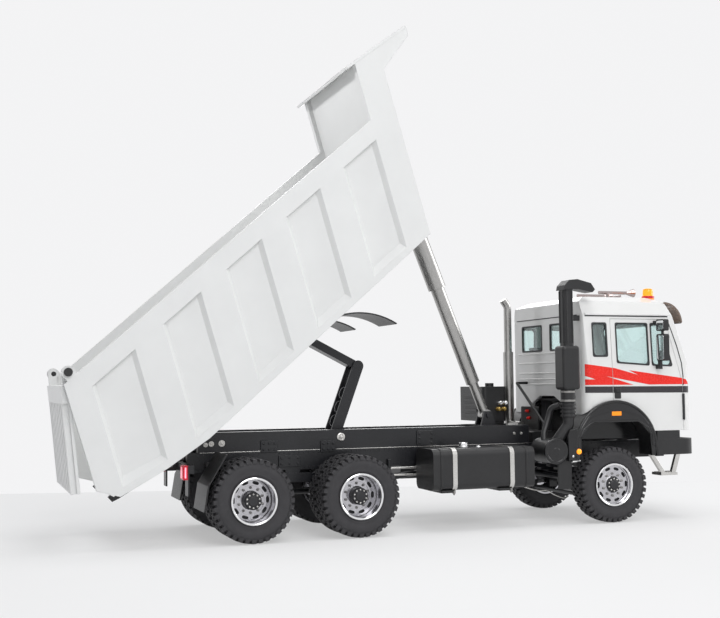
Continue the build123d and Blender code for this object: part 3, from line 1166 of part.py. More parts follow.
for piece in (knob, pin, hook, guard_plate):
    fittings += raised(*both_sides(piece))
add("bed_fittings", *fittings)

# Tailgate: modelled hanging straight down from its pivots, then leaned
pivot = turned_point((GATE_PIVOT_X, GATE_PIVOT_Z), HINGE_X, HINGE_Z, -BED_TILT)
gx, gz = pivot
gate_rear = gx + GATE_FRONT - GATE_SHEET - GATE_RIB
gate = box(gx + GATE_FRONT - GATE_SHEET, gx + GATE_FRONT, -GATE_HALF_WIDTH, GATE_HALF_WIDTH, gz - GATE_LENGTH,
           gz - GATE_BEAM_TOP)
gate += box(gate_rear, gx + GATE_FRONT, -GATE_HALF_WIDTH, GATE_HALF_WIDTH, gz - GATE_BEAM_TOP - GATE_BEAM_HEIGHT,
            gz - GATE_BEAM_TOP)
rib_pitch = 2 * GATE_HALF_WIDTH / GATE_RIBS
for i in range(GATE_RIBS):
    y = -GATE_HALF_WIDTH + rib_pitch * (i + 0.5)
    gate += box(gate_rear, gx + GATE_FRONT, y - rib_pitch * 0.3, y + rib_pitch * 0.3, gz - GATE_LENGTH,
                gz - GATE_BEAM_TOP)
gate_ear_y = (GATE_HALF_WIDTH - PIN_REACH + 1, GATE_HALF_WIDTH)
ear_top = rod_y(gx, gz, GATE_EAR - 0.5, *gate_ear_y)
ear_top += box(gate_rear + 2, gx + GATE_FRONT + 2, *gate_ear_y, gz - GATE_BEAM_TOP - 1, gz)
gate += both_sides(ear_top)
gate -= rod_y(gx, gz, GATE_PIN_RADIUS + RUNNING_FIT, -120, 120)
add("tailgate", turned(gate, gx, gz, -GATE_LEAN))

# Telescopic lift: modelled hanging from its upper pin, then leaned to its foot
lift_top = turned_point((LIFT_TOP_X, LIFT_TOP_Z), HINGE_X, HINGE_Z, -BED_TILT)
lift_long = math.dist(lift_top, (LIFT_BASE_X, LIFT_BASE_Z))
lift_short = math.dist((LIFT_TOP_X, LIFT_TOP_Z), (LIFT_BASE_X, LIFT_BASE_Z))
lift_lean = math.degrees(math.atan2(lift_top[0] - LIFT_BASE_X, lift_top[1] - LIFT_BASE_Z))
stage_b_bore = ROD_RADIUS + STAGE_GAP
stage_b_outer = stage_b_bore + STAGE_WALL
stage_a_bore = stage_b_outer + STAGE_GAP
stage_a_outer = stage_a_bore + STAGE_WALL
barrel_bore = stage_a_outer + STAGE_GAP
barrel_outer = barrel_bore + LIFT_WALL
BARREL_TOP = 14.0
LIFT_CAP = 3.0
barrel_end = lift_short - FOLDED_EYE_GAP
stage_a_end = lift_long - ROD_SHOWING - STAGE_B_SHOWING
stage_b_end = lift_long - ROD_SHOWING
stage_a_length = barrel_end - BARREL_TOP - LIFT_CAP - 4
stage_b_length = stage_a_length - LIFT_CAP - 1.5
rod_length = stage_b_length - LIFT_CAP - 6


def hung(start, end, radius):
    return rod_z(0, 0, radius, -end, -start)


def lift_piece(shape):
    leaned = shape.rotate(Axis.Y, lift_lean)
    return Pos(lift_top[0], 0, lift_top[1]) * leaned


eye = rod_y(0, 0, LIFT_EYE_RADIUS, -LIFT_EYE_WIDTH / 2, LIFT_EYE_WIDTH / 2)
barrel = hung(BARREL_TOP, barrel_end, barrel_outer) + eye
barrel += box(-LIFT_EYE_RADIUS, LIFT_EYE_RADIUS, -LIFT_EYE_WIDTH / 2, LIFT_EYE_WIDTH / 2, -BARREL_TOP - 1, 0)
barrel -= hung(BARREL_TOP + LIFT_CAP, barrel_end + 1, barrel_bore)
barrel -= rod_y(0, 0, LIFT_PIN_RADIUS + RUNNING_FIT, -20, 20)
stage_a = hung(stage_a_end - stage_a_length, stage_a_end, stage_a_outer)
stage_a -= hung(stage_a_end - stage_a_length + LIFT_CAP, stage_a_end + 1, stage_a_bore)
stage_b = hung(stage_b_end - stage_b_length, stage_b_end, stage_b_outer)
stage_b -= hung(stage_b_end - stage_b_length + LIFT_CAP, stage_b_end + 1, stage_b_bore)
lift_rod = hung(lift_long - rod_length, lift_long, ROD_RADIUS) + Pos(0, 0, -lift_long) * eye
add("lift_barrel", lift_piece(barrel))
add("lift_stage_a", lift_piece(stage_a))
add("lift_stage_b", lift_piece(stage_b))
add("lift_rod", lift_piece(lift_rod))

# Scissor stay: lower arm a channel with oval holes, upper arm a bar that folds into it
lower_long = math.dist((SCISSOR_FOOT_X, SCISSOR_FOOT_Z), (SCISSOR_ELBOW_X, SCISSOR_ELBOW_Z))
lower_lean = math.degrees(math.atan2(SCISSOR_ELBOW_X - SCISSOR_FOOT_X, SCISSOR_ELBOW_Z - SCISSOR_FOOT_Z))
head = turned_point((SCISSOR_HEAD_X, SCISSOR_HEAD_Z), HINGE_X, HINGE_Z, -BED_TILT)
upper_long = math.dist(head, (SCISSOR_ELBOW_X, SCISSOR_ELBOW_Z))
upper_lean = math.degrees(math.atan2(head[0] - SCISSOR_ELBOW_X, head[1] - SCISSOR_ELBOW_Z))
arm_half = SCISSOR_DEPTH / 2


def stay_plate(length, half, y0, y1):
    plate = box(-half, half, y0, y1, 0, length)
    return plate + rod_y(0, 0, half, y0, y1) + rod_y(0, length, half, y0, y1)


WEB_FROM = 9.0
WEB_SHORT = 20.0
WEB_HOLES = 3
lower = stay_plate(lower_long, arm_half, SCISSOR_HALF_WIDTH - SCISSOR_SHEET, SCISSOR_HALF_WIDTH)
lower += mirrored(lower)
web = box(arm_half - SCISSOR_SHEET, arm_half, -SCISSOR_HALF_WIDTH, SCISSOR_HALF_WIDTH, WEB_FROM, lower_long - WEB_SHORT)
web_pitch = (lower_long - WEB_SHORT - WEB_FROM) / WEB_HOLES
for i in range(WEB_HOLES):
    oval = SlotOverall(web_pitch - 4, 8)
    hole = Plane((arm_half - 5, 0, WEB_FROM + web_pitch * (i + 0.5)), x_dir=(0, 0, 1), z_dir=(1, 0, 0)) * oval
    web -= extrude(hole, 10)
lower += web
lower -= rod_y(0, 0, SCISSOR_PIN_RADIUS + RUNNING_FIT, -20, 20)
lower += rod_y(0, lower_long, SCISSOR_PIN_RADIUS, -SCISSOR_HALF_WIDTH, SCISSOR_HALF_WIDTH)
upper = stay_plate(upper_long, UPPER_ARM_DEPTH / 2, -scissor_in, scissor_in)
upper -= rod_y(0, 0, SCISSOR_PIN_RADIUS + RUNNING_FIT, -20, 20)
add("scissor_lower", Pos(SCISSOR_FOOT_X, 0, SCISSOR_FOOT_Z) * lower.rotate(Axis.Y, lower_lean))
add("scissor_upper", Pos(SCISSOR_ELBOW_X, 0, SCISSOR_ELBOW_Z) * upper.rotate(Axis.Y, upper_lean))

# Steering: knuckles on kingpins and the tie rod under their arms
KNUCKLE_HALF = 5.0
ARM_LOW = 8.0
ARM_SHEET = 4.0
ROD_SEAT = 0.3
wheel_z = TYRE_RADIUS
knuckle_high = YOKE_HEIGHT / 2 - YOKE_SHEET - SIDE_PLAY
stub_out = FRONT_BORE_END_Y - SIDE_PLAY
knuckle = box(FRONT_AXLE_X - KNUCKLE_HALF, FRONT_AXLE_X + KNUCKLE_HALF, KINGPIN_Y - 4.5, KINGPIN_Y + 4.5,
              wheel_z - knuckle_high, wheel_z + knuckle_high)
knuckle += rod_z(FRONT_AXLE_X, KINGPIN_Y, KINGPIN_RADIUS, wheel_z - YOKE_HEIGHT / 2, wheel_z + YOKE_HEIGHT / 2)
knuckle += rod_y(FRONT_AXLE_X, wheel_z, STUB_RADIUS + 2, KINGPIN_Y, FRONT_HUB_BACK_Y - SIDE_PLAY)
knuckle += rod_y(FRONT_AXLE_X, wheel_z, STUB_RADIUS, KINGPIN_Y, stub_out)
arm_face = outline([
    (FRONT_AXLE_X - KNUCKLE_HALF + 1, KINGPIN_Y - 1),
    (FRONT_AXLE_X - KNUCKLE_HALF + 1, KINGPIN_Y + 4),
    (FRONT_AXLE_X - STEER_ARM - 3, STEER_ARM_Y + 3),
    (FRONT_AXLE_X - STEER_ARM - 3, STEER_ARM_Y - 3),
    (FRONT_AXLE_X - STEER_ARM + 3, STEER_ARM_Y - 3),
])
knuckle += prism_z(arm_face, wheel_z - ARM_LOW, wheel_z - ARM_LOW + ARM_SHEET)
add("knuckle_left", knuckle)
add("knuckle_right", mirrored(knuckle))
rod_z_place = wheel_z - ARM_LOW - 4.5
tie = rod_y(FRONT_AXLE_X - STEER_ARM, rod_z_place, TIE_ROD_RADIUS, -STEER_ARM_Y, STEER_ARM_Y)
for y in (-STEER_ARM_Y, STEER_ARM_Y):
    tie += rod_z(FRONT_AXLE_X - STEER_ARM, y, 3, rod_z_place - TIE_ROD_RADIUS - 0.6, wheel_z - ARM_LOW - ROD_SEAT)
add("tie_rod", tie)

# The origin is on the floor, under the middle of the whole truck
every_solid = [solid for solids in nodes.values() for solid in solids]
extent = Compound(children=[Compound(every_solid)]).bounding_box()
ORIGIN_X = (extent.min.X + extent.max.X) / 2
os.makedirs("parts", exist_ok=True)
for name, solids in nodes.items():
    moved = [Pos(-ORIGIN_X, 0, 0) * solid for solid in solids]
    shape = moved[0] if len(moved) == 1 else Compound(moved)
    export_step(shape, f"parts/{name}.step")
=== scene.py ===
import math

import bmesh
import bpy
from mathutils import Matrix, Vector
from mathutils.geometry import tessellate_polygon


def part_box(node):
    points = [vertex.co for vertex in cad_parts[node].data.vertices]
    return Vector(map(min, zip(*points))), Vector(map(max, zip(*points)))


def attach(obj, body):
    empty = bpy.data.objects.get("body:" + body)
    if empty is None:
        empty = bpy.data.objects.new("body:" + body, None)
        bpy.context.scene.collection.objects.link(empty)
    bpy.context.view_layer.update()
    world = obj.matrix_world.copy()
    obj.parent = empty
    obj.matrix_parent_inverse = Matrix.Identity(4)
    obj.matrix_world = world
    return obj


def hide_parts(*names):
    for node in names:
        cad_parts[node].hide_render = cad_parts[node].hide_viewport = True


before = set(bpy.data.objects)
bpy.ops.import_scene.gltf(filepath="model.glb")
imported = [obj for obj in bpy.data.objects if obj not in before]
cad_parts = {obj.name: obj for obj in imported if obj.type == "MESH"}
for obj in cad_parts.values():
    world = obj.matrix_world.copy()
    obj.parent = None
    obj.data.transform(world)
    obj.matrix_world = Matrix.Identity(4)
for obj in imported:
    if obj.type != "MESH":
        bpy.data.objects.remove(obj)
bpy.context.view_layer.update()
scene = bpy.context.scene
scene.view_settings.view_transform = "Standard"

# Places are in millimetres: X forward from the rearmost axle, Y to the left, Z up from the floor.
rim_low, rim_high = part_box("rear_right_rim")
AXLE_X = (rim_low.x + rim_high.x) / 2
SIDES = (("left", 1), ("right", -1))


def place(x, y, z):
    return Vector((AXLE_X + x / 1000, y / 1000, z / 1000))


# Materials: colour, roughness and bump all vary over the surface, and edges are softened
def link(tree, start, end):
    tree.links.new(start, end)


def noise(tree, coords, scale, detail=3.0, rough=0.55):
    n = tree.nodes.new("ShaderNodeTexNoise")
    n.inputs["Scale"].default_value = scale
    n.inputs["Detail"].default_value = detail
    n.inputs["Roughness"].default_value = rough
    link(tree, coords, n.inputs["Vector"])
    return n.outputs["Fac"]


def ranged(tree, value, low, high, from_low=0.3, from_high=0.7):
    n = tree.nodes.new("ShaderNodeMapRange")
    n.inputs["From Min"].default_value = from_low
    n.inputs["From Max"].default_value = from_high
    n.inputs["To Min"].default_value = low
    n.inputs["To Max"].default_value = high
    link(tree, value, n.inputs["Value"])
    return n.outputs["Result"]


def mixed(tree, factor, first, second):
    n = tree.nodes.new("ShaderNodeMix")
    n.data_type = "RGBA"
    link(tree, factor, n.inputs["Factor"])
    for socket, value in ((n.inputs[6], first), (n.inputs[7], second)):
        if isinstance(value, tuple):
            socket.default_value = (*value, 1)
        else:
            link(tree, value, socket)
    return n.outputs[2]


def toned(colour, share):
    return tuple(min(1.0, c * share) for c in colour)


COAT_ROUGH = 0.12
RELIEF_DEPTH = 0.0003


def surface(name, colour, rough, metallic=0.0, tone=0.05, blotch=40.0, grain=1500.0, bump=0.08,
            stretch=(1, 1, 1), edge=0.0004, wear=None, dust=None, coat=0.0, glow=0.0, clear=0.0):
    mat = bpy.data.materials.new(name)
    mat.use_nodes = True
    tree = mat.node_tree
    bsdf = tree.nodes["Principled BSDF"]
    coords = tree.nodes.new("ShaderNodeTexCoord").outputs["Object"]
    mapping = tree.nodes.new("ShaderNodeMapping")
    mapping.inputs["Scale"].default_value = stretch
    link(tree, coords, mapping.inputs["Vector"])
    fine = mapping.outputs["Vector"]
    patches = noise(tree, coords, blotch)
    paint = mixed(tree, ranged(tree, patches, 0, 1), toned(colour, 1 - tone), toned(colour, 1 + tone))
    speckle = noise(tree, fine, grain, 2.0)
    if dust is not None:
        film = noise(tree, coords, blotch * 3, 5.0, 0.65)
        paint = mixed(tree, ranged(tree, film, 0, 0.35, 0.45, 0.8), paint, dust)
    bevel = tree.nodes.new("ShaderNodeBevel")
    bevel.samples = 4
    bevel.inputs["Radius"].default_value = edge
    if wear is not None:
        geometry = tree.nodes.new("ShaderNodeNewGeometry")
        dot = tree.nodes.new("ShaderNodeVectorMath")
        dot.operation = "DOT_PRODUCT"
        link(tree, bevel.outputs["Normal"], dot.inputs[0])
        link(tree, geometry.outputs["Normal"], dot.inputs[1])
        edges = ranged(tree, dot.outputs["Value"], 0.7, 0.0, 0.80, 0.97)
        broken = tree.nodes.new("ShaderNodeMath")
        broken.operation = "MULTIPLY"
        link(tree, edges, broken.inputs[0])
        link(tree, ranged(tree, noise(tree, coords, 220.0), 0, 1, 0.42, 0.66), broken.inputs[1])
        paint = mixed(tree, broken.outputs["Value"], paint, wear)
    link(tree, paint, bsdf.inputs["Base Color"])
    link(tree, ranged(tree, speckle, rough[0], rough[1]), bsdf.inputs["Roughness"])
    bsdf.inputs["Metallic"].default_value = metallic
    bsdf.inputs["Coat Weight"].default_value = coat
    bsdf.inputs["Coat Roughness"].default_value = COAT_ROUGH
    bsdf.inputs["Transmission Weight"].default_value = clear
    if glow > 0:
        link(tree, paint, bsdf.inputs["Emission Color"])
        bsdf.inputs["Emission Strength"].default_value = glow
    relief = tree.nodes.new("ShaderNodeBump")
    relief.inputs["Strength"].default_value = bump
    relief.inputs["Distance"].default_value = RELIEF_DEPTH
    link(tree, speckle, relief.inputs["Height"])
    link(tree, bevel.outputs["Normal"], relief.inputs["Normal"])
    link(tree, relief.outputs["Normal"], bsdf.inputs["Normal"])
    return mat


CAB_PAINT = surface("cab_enamel", (0.80, 0.80, 0.785), (0.16, 0.26), tone=0.015, grain=700, bump=0.03,
                    edge=0.0009, coat=0.5)
BED_PAINT = surface("bed_enamel", (0.77, 0.775, 0.765), (0.30, 0.44), tone=0.02, blotch=25, grain=900,
                    bump=0.06, edge=0.0007, wear=(0.60, 0.60, 0.58), coat=0.15)
CHASSIS = surface("chassis_black", (0.009, 0.0095, 0.012), (0.26, 0.40), tone=0.15, grain=2200, bump=0.12,
                  wear=(0.06, 0.06, 0.07), dust=(0.020, 0.020, 0.022))
PLASTIC = surface("moulded_plastic", (0.012, 0.012, 0.013), (0.32, 0.46), tone=0.10, grain=3200, bump=0.22,
                  edge=0.0008, dust=(0.022, 0.022, 0.023))
RUBBER = surface("tyre_compound", (0.032, 0.031, 0.034), (0.62, 0.82), tone=0.12, blotch=60, grain=2600,
                 bump=0.25, dust=(0.055, 0.053, 0.055))
FENDER_GLOSS = surface("glossy_plastic", (0.012, 0.012, 0.013), (0.14, 0.24), tone=0.08, grain=1600,
                       bump=0.06, edge=0.0006)
SEAL = surface("seal_rubber", (0.018, 0.020, 0.022), (0.45, 0.6), tone=0.08, grain=2600, bump=0.1)
# Rim metal set darker than the chrome of the lips: part of its darkness is painted shade for the rims' deep
# dishes.
WHEEL = surface("spun_aluminium", (0.52, 0.515, 0.54), (0.14, 0.26), 1.0, tone=0.04, grain=900, bump=0.05,
                stretch=(1, 9, 1), edge=0.0003)
HUB_DARK = surface("hub_iron", (0.030, 0.030, 0.032), (0.35, 0.5), 0.4, tone=0.12, grain=2400, bump=0.18)
LIFT = surface("brushed_steel", (0.40, 0.395, 0.385), (0.24, 0.38), 1.0, tone=0.05, blotch=60, grain=1600,
               bump=0.09, stretch=(1, 1, 0.06))
CHROME = surface("chrome", (0.82, 0.82, 0.83), (0.05, 0.12), 1.0, tone=0.02, grain=900, bump=0.01)
HORN = surface("horn_plate", (0.42, 0.36, 0.35), (0.16, 0.28), 1.0, tone=0.05, grain=900, bump=0.04)
STEEL = surface("plain_steel", (0.30, 0.295, 0.285), (0.30, 0.44), 1.0, tone=0.10, grain=1800, bump=0.10)
STRAP = surface("strap_steel", (0.62, 0.61, 0.59), (0.22, 0.34), 1.0, tone=0.05, grain=1500, bump=0.06)
WORN_EDGE = surface("worn_edge", (0.36, 0.36, 0.37), (0.34, 0.5), 0.2, tone=0.12, grain=1500, bump=0.1)
BRASS = surface("brass", (0.55, 0.38, 0.12), (0.22, 0.36), 1.0, tone=0.08, grain=1500, bump=0.06)
INSIDE = surface("cab_trim", (0.030, 0.030, 0.033), (0.55, 0.72), tone=0.12, grain=2600, bump=0.3)
AMBER = surface("amber_lens", (0.95, 0.26, 0.01), (0.10, 0.2), tone=0.10, grain=900, bump=0.15, glow=0.35)
BEACON = surface("amber_lit", (1.0, 0.30, 0.01), (0.10, 0.2), tone=0.12, grain=900, bump=0.1, glow=0.9)
RED_LENS = surface("red_lens", (0.55, 0.01, 0.03), (0.10, 0.2), tone=0.15, grain=900, bump=0.15, glow=0.25)
LAMP_CLEAR = surface("lamp_lens", (0.80, 0.82, 0.84), (0.04, 0.1), tone=0.04, grain=600, bump=0.1, clear=0.6)
GLASS = surface("pale_glass", (0.865, 1.0, 0.985), (0.0, 0.02), tone=0.01, grain=300, bump=0.0,
                edge=0.0001, clear=0.93)
VISOR = surface("smoked_visor", (0.33, 0.25, 0.205), (0.08, 0.16), tone=0.06, grain=400, bump=0.01,
                clear=0.45)
STRIPE_RED = surface("stripe_red", (0.86, 0.020, 0.010), (0.22, 0.32), tone=0.03, grain=900, bump=0.03)
STRIPE_BLACK = surface("stripe_black", (0.030, 0.027, 0.031), (0.26, 0.36), tone=0.05, grain=900, bump=0.03)
TAIL_LIT = surface("tail_lit", (1.0, 0.36, 0.46), (0.10, 0.2), tone=0.06, grain=900, bump=0.1, glow=1.0)
MIRROR = surface("mirror_glass", (0.80, 0.82, 0.83), (0.02, 0.05), 1.0, tone=0.01, grain=300, bump=0.0)

NODE_MATERIALS = {
    CAB_PAINT: "cab_roof cab_rear cab_sides cab_front door_left door_right",
    BED_PAINT: "bed_sides bed_headboard bed_floor tailgate",
    CHASSIS: "frame subframe leaf_springs rear_axles front_axle drive_line tail_bar "
             "scissor_lower scissor_upper knuckle_left knuckle_right tie_rod",
    PLASTIC: "air_intake fenders bumper grille fuel_tank battery_box hydraulic_tank bed_fittings "
             "door_left_mirror door_right_mirror",
    RUBBER: "front_left_tyre front_right_tyre middle_left_tyres middle_right_tyres "
            "rear_left_tyres rear_right_tyres",
    WHEEL: "front_left_rim front_right_rim middle_left_rim middle_right_rim rear_left_rim rear_right_rim",
    LIFT: "lift_barrel lift_stage_a lift_stage_b lift_rod exhaust",
    HORN: "air_horns",
    CHROME: "steps",
    STRAP: "tank_straps",
    INSIDE: "cab_interior",
    GLASS: "cab_glass door_left_glass door_right_glass",
    VISOR: "sun_visor",
    LAMP_CLEAR: "headlamps",
    AMBER: "amber_lamps",
    RED_LENS: "tail_lamps",
}
for mat, names in NODE_MATERIALS.items():
    for name in names.split():
        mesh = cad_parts[name].data
        mesh.materials.clear()
        mesh.materials.append(mat)


# Mesh helpers
def piece(name, parts, mat, body, smooth=30.0):
    # parts is a list of (points, faces); points are in metres in the row frame.
    verts, faces = [], []
    for points, polys in parts:
        start = len(verts)
        verts += [tuple(p) for p in points]
        faces += [[start + i for i in poly] for poly in polys]
    mesh = bpy.data.meshes.new(name)
    mesh.from_pydata(verts, [], faces)
    bm = bmesh.new()
    bm.from_mesh(mesh)
    bmesh.ops.recalc_face_normals(bm, faces=bm.faces)
    bm.to_mesh(mesh)
    bm.free()
    if smooth > 0:
        mesh.polygons.foreach_set("use_smooth", [True] * len(mesh.polygons))
        mesh.set_sharp_from_angle(angle=math.radians(smooth))
    mesh.materials.append(mat)
    obj = bpy.data.objects.new(name, mesh)
    scene.collection.objects.link(obj)
    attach(obj, body)
    return obj


def frame_at(origin, axis):
    # A matrix that takes +Z to the axis, at an origin given in metres.
    axis = Vector(axis).normalized()
    return Matrix.Translation(origin) @ axis.to_track_quat("Z", "Y").to_matrix().to_4x4()


def polar(matrix, radius, angle, height):
    # A point about the matrix's Z, with lengths in millimetres.
    return matrix @ Vector((radius * math.cos(angle) / 1000, radius * math.sin(angle) / 1000, height / 1000))


def turned_part(profile, matrix, count=24, caps=True):
    # A body of revolution: profile is (radius, height) in millimetres along the matrix's Z.
    points, faces = [], []
    for r, h in profile:
        for i in range(count):
            points.append(polar(matrix, r, 2 * math.pi * i / count, h))
    for k in range(len(profile) - 1):
        for i in range(count):
            j = (i + 1) % count
            faces.append((k * count + i, k * count + j, (k + 1) * count + j, (k + 1) * count + i))
    if caps:
        faces.append(tuple(range(count))[::-1])
        faces.append(tuple(range((len(profile) - 1) * count, len(profile) * count)))
    return points, faces


def block(corners_low, corners_high):
    # A six-sided block from two rings of four corners.
    points = list(corners_low) + list(corners_high)
    faces = [(3, 2, 1, 0), (4, 5, 6, 7)] + [(i, (i + 1) % 4, 4 + (i + 1) % 4, 4 + i) for i in range(4)]
    return points, faces


def nut(origin, axis, radius, height):
    # A hexagon nut with a chamfered crown and the stud's round end.
    m = frame_at(origin, axis)
    crown = turned_part([(radius, 0), (radius, height * 0.75), (radius * 0.82, height)], m, 6)
    stud = turned_part([(radius * 0.5, 0), (radius * 0.5, height * 1.3), (radius * 0.3, height * 1.5)], m, 10)
    return [crown, stud]


def screw(origin, axis, radius, height):
    m = frame_at(origin, axis)
    return [turned_part([(radius, 0), (radius, height * 0.6), (radius * 0.75, height)], m, 12)]


def tube(points, radius, count=12):
    # A round tube through points in metres.
    parts_points, faces = [], []
    for k, p in enumerate(points):
        before, after = points[max(k - 1, 0)], points[min(k + 1, len(points) - 1)]
        m = frame_at(p, after - before)
        for i in range(count):
            parts_points.append(polar(m, radius, 2 * math.pi * i / count, 0))
    for k in range(len(points) - 1):
        for i in range(count):
            j = (i + 1) % count
            faces.append((k * count + i, k * count + j, (k + 1) * count + j, (k + 1) * count + i))
    faces.append(tuple(range(count))[::-1])
    faces.append(tuple(range((len(points) - 1) * count, len(points) * count)))
    return parts_points, faces


def eased(points, rounds=2):
    # The same line with its corners cut, once per round.
    for _ in range(rounds):
        cut = [points[0]]
        for p, q in zip(points, points[1:]):
            cut += [p * 0.75 + q * 0.25, p * 0.25 + q * 0.75]
        points = cut + [points[-1]]
    return points


def rounded(points, radius, steps=5):
    # A polygon with each corner rounded; the points are pairs.
    out = []
    for k, p in enumerate(points):
        a, b, c = Vector(points[k - 1]), Vector(p), Vector(points[(k + 1) % len(points)])
        u, v = (a - b).normalized(), (c - b).normalized()
        angle = u.angle(v)
        cut = radius / math.tan(angle / 2)
        centre = b + (u + v).normalized() * (radius / math.sin(angle / 2))
        start, end = b + u * cut - centre, b + v * cut - centre
        for i in range(steps + 1):
            out.append(tuple(centre + start.lerp(end, i / steps).normalized() * radius))
    return out


def shrunk(points, by):
    # A polygon moved inwards by a width, corner by corner; the points run anticlockwise.
    out = []
    for k, p in enumerate(points):
        a, b, c = Vector(points[k - 1]), Vector(p), Vector(points[(k + 1) % len(points)])
        u, v = (b - a).normalized(), (c - b).normalized()
        n1, n2 = Vector((-u.y, u.x)), Vector((-v.y, v.x))
        bisector = (n1 + n2).normalized()
        out.append(tuple(b + bisector * by / max(0.2, bisector.dot(n1))))
    return out


def rectangle(a0, a1, b0, b1):
    return [(a0, b0), (a1, b0), (a1, b1), (a0, b1)]


def joined(rings, closed):
    # Rings of equal count joined by quads; the last joins the first, or both ends are filled.
    count = len(rings[0])
    points = [p for ring in rings for p in ring]
    faces = []
    for k in range(len(rings) if closed else len(rings) - 1):
        n = (k + 1) % len(rings)
        for i in range(count):
            j = (i + 1) % count
            faces.append((k * count + i, k * count + j, n * count + j, n * count + i))
    if not closed:
        faces.append(tuple(range(count))[::-1])
        faces.append(tuple(range((len(rings) - 1) * count, len(rings) * count)))
    return points, faces


def slab(outline, lift, low, high, chamfer=0.0, radius=0.0):
    # A flat plate over an outline: lift takes a flat point and a height to a place.
    levels = [(0.0, low), (0.0, high)]
    if chamfer > 0:
        levels = [(0.0, low), (0.0, high - chamfer), (chamfer, high)]
    rings = []
    for inset, height in levels:
        ring = shrunk(outline, inset) if inset > 0 else outline
        ring = rounded(ring, max(0.2, radius - inset)) if radius > 0 else ring
        rings.append([lift(p, height) for p in ring])
    return joined(rings, False)


def strip(points, width, radius, lift):
    # A moulded strip around an opening.
    section = (
        (-0.2, -0.4), (-0.2, 0.35), (0.3, 0.6), (width - 0.4, 0.55), (width, 0.2), (width, -0.9),
    )
    rings = []
    for inset, height in section:
        ring = rounded(shrunk(points, inset), radius + (1.5 if inset > 0.5 else 0.0))
        rings.append([lift(p, height) for p in ring])
    return joined(rings, True)


def hoop(points, x0, x1, height, radius):
    # A raised band round a section that runs along X; the points are pairs of Y and Z.
    rings = []
    for x, proud in ((x0, -0.4), (x0 + 0.5, height), (x1 - 0.5, height), (x1, -0.4)):
        rings.append([place(x, *p) for p in rounded(shrunk(points, -proud), radius + proud)])
    return joined(rings, True)


def ring_bolt(origin, axis, radius):
    # A bolt head on a turned washer.
    m = frame_at(origin, axis)
    washer = [
        (radius, 0), (radius, 0.5), (radius * 0.9, 0.8), (radius * 0.66, 0.8), (radius * 0.62, 0.5),
    ]
    return [turned_part(washer, m)] + nut(origin, axis, radius * 0.5, 1.5)


# Tyres with a rounded carcass and a staggered block tread
TYRE_RADIUS, TYRE_HALF, BORE_RADIUS = 41.5, 12.0, 23.4
TREAD_BASE, BEAD_HALF = 38.7, 9.6
SHOULDER_FOOT, SHOULDER_FROM = 36.6, 11
LUGS = 36
CARCASS = [
    (BORE_RADIUS, -BEAD_HALF), (24.6, -10.6), (26.0, -11.1), (27.2, -10.9), (30.0, -11.6), (33.5, -11.9),
    (36.2, -11.4), (37.6, -10.9), (TREAD_BASE, -BEAD_HALF),
]


def tyre_parts(axle_x, centre_y):
    m = frame_at(place(axle_x, centre_y, TYRE_RADIUS), (0, 1, 0))
    profile = CARCASS + [(r, -h) for r, h in reversed(CARCASS)]
    parts = [turned_part(profile, m, 72, caps=False)]
    parts.append(turned_part([(BORE_RADIUS, BEAD_HALF), (BORE_RADIUS, -BEAD_HALF)], m, 72, caps=False))
    pitch = 2 * math.pi / LUGS
    for i in range(LUGS):
        for h0, h1, shift, share, top in (
            (-11.95, -5.0, 0.0, 0.60, 41.4), (5.0, 11.95, 0.5, 0.60, 41.4),
            (-4.4, -0.3, 0.45, 0.66, TYRE_RADIUS), (0.3, 4.4, 0.95, 0.66, TYRE_RADIUS),
        ):
            mid = (i + shift) * pitch
            half = pitch * share / 2
            low, high = [], []
            for a, h in ((-1, h0), (1, h0), (1, h1), (-1, h1)):
                lean = 0.16 * pitch * (1 if h > 0 else -1) * (h - (h0 + h1) / 2) / (h1 - h0)
                shoulder = abs(h) > SHOULDER_FROM
                foot = SHOULDER_FOOT if shoulder else TREAD_BASE - 0.6
                crown = top - 0.7 if shoulder else top
                out = 0.35 if shoulder else 0.0
                for ring, r, grow in ((low, foot, 1.12), (high, crown, 1.0)):
                    angle = mid + a * half * grow + lean
                    depth = h - math.copysign(out, h) if ring is high else h
                    ring.append(polar(m, r, angle, depth))
            parts.append(block(low, high))
    return parts


# Rims: a disc with hand holes and a thin dark ring of painted shade behind them, a chrome lip as painted
# highlight, nuts, hub bolts and hub cap
RIM_SEAT, RIM_BARREL, HUB_RADIUS, STUB_BORE = 23.25, 21.45, 8.5, 4.05
DISC_THICK = 3.0
HOLED_FROM, HOLED_TO = 14.3, 20.6
HOLE_CIRCLE, HOLE_LENGTH, HOLE_WIDTH = 17.5, 6.6, 3.2
HAND_HOLES = 10


def holed_sector(m, middle, front, back):
    # One sector of the disc with a long rounded hole in it; front and back are heights on the axis.
    half = math.pi / HAND_HOLES
    steps = 8
    around = []
    for i in range(steps):
        around.append((-half + 2 * half * i / steps, HOLED_FROM))
    for i in range(steps):
        around.append((half, HOLED_FROM + (HOLED_TO - HOLED_FROM) * i / steps))
    for i in range(steps):
        around.append((half - 2 * half * i / steps, HOLED_TO))
    for i in range(steps):
        around.append((-half, HOLED_TO - (HOLED_TO - HOLED_FROM) * i / steps))
    hole = []
    for a, r in around:
        t = math.atan2((r - HOLE_CIRCLE) / HOLE_WIDTH, a * HOLE_CIRCLE / HOLE_LENGTH)
        c, s = math.cos(t), math.sin(t)
        x = math.copysign(abs(c) ** 0.7, c) * HOLE_LENGTH / 2
        y = math.copysign(abs(s) ** 0.7, s) * HOLE_WIDTH / 2
        hole.append((x / HOLE_CIRCLE, HOLE_CIRCLE + y))
    rings = []
    for ring, height in ((around, front), (hole, front), (hole, back), (around, back)):
        rings.append([polar(m, r, middle + a, height) for a, r in ring])
    points, faces = joined(rings, False)
    return points, faces[:-2]


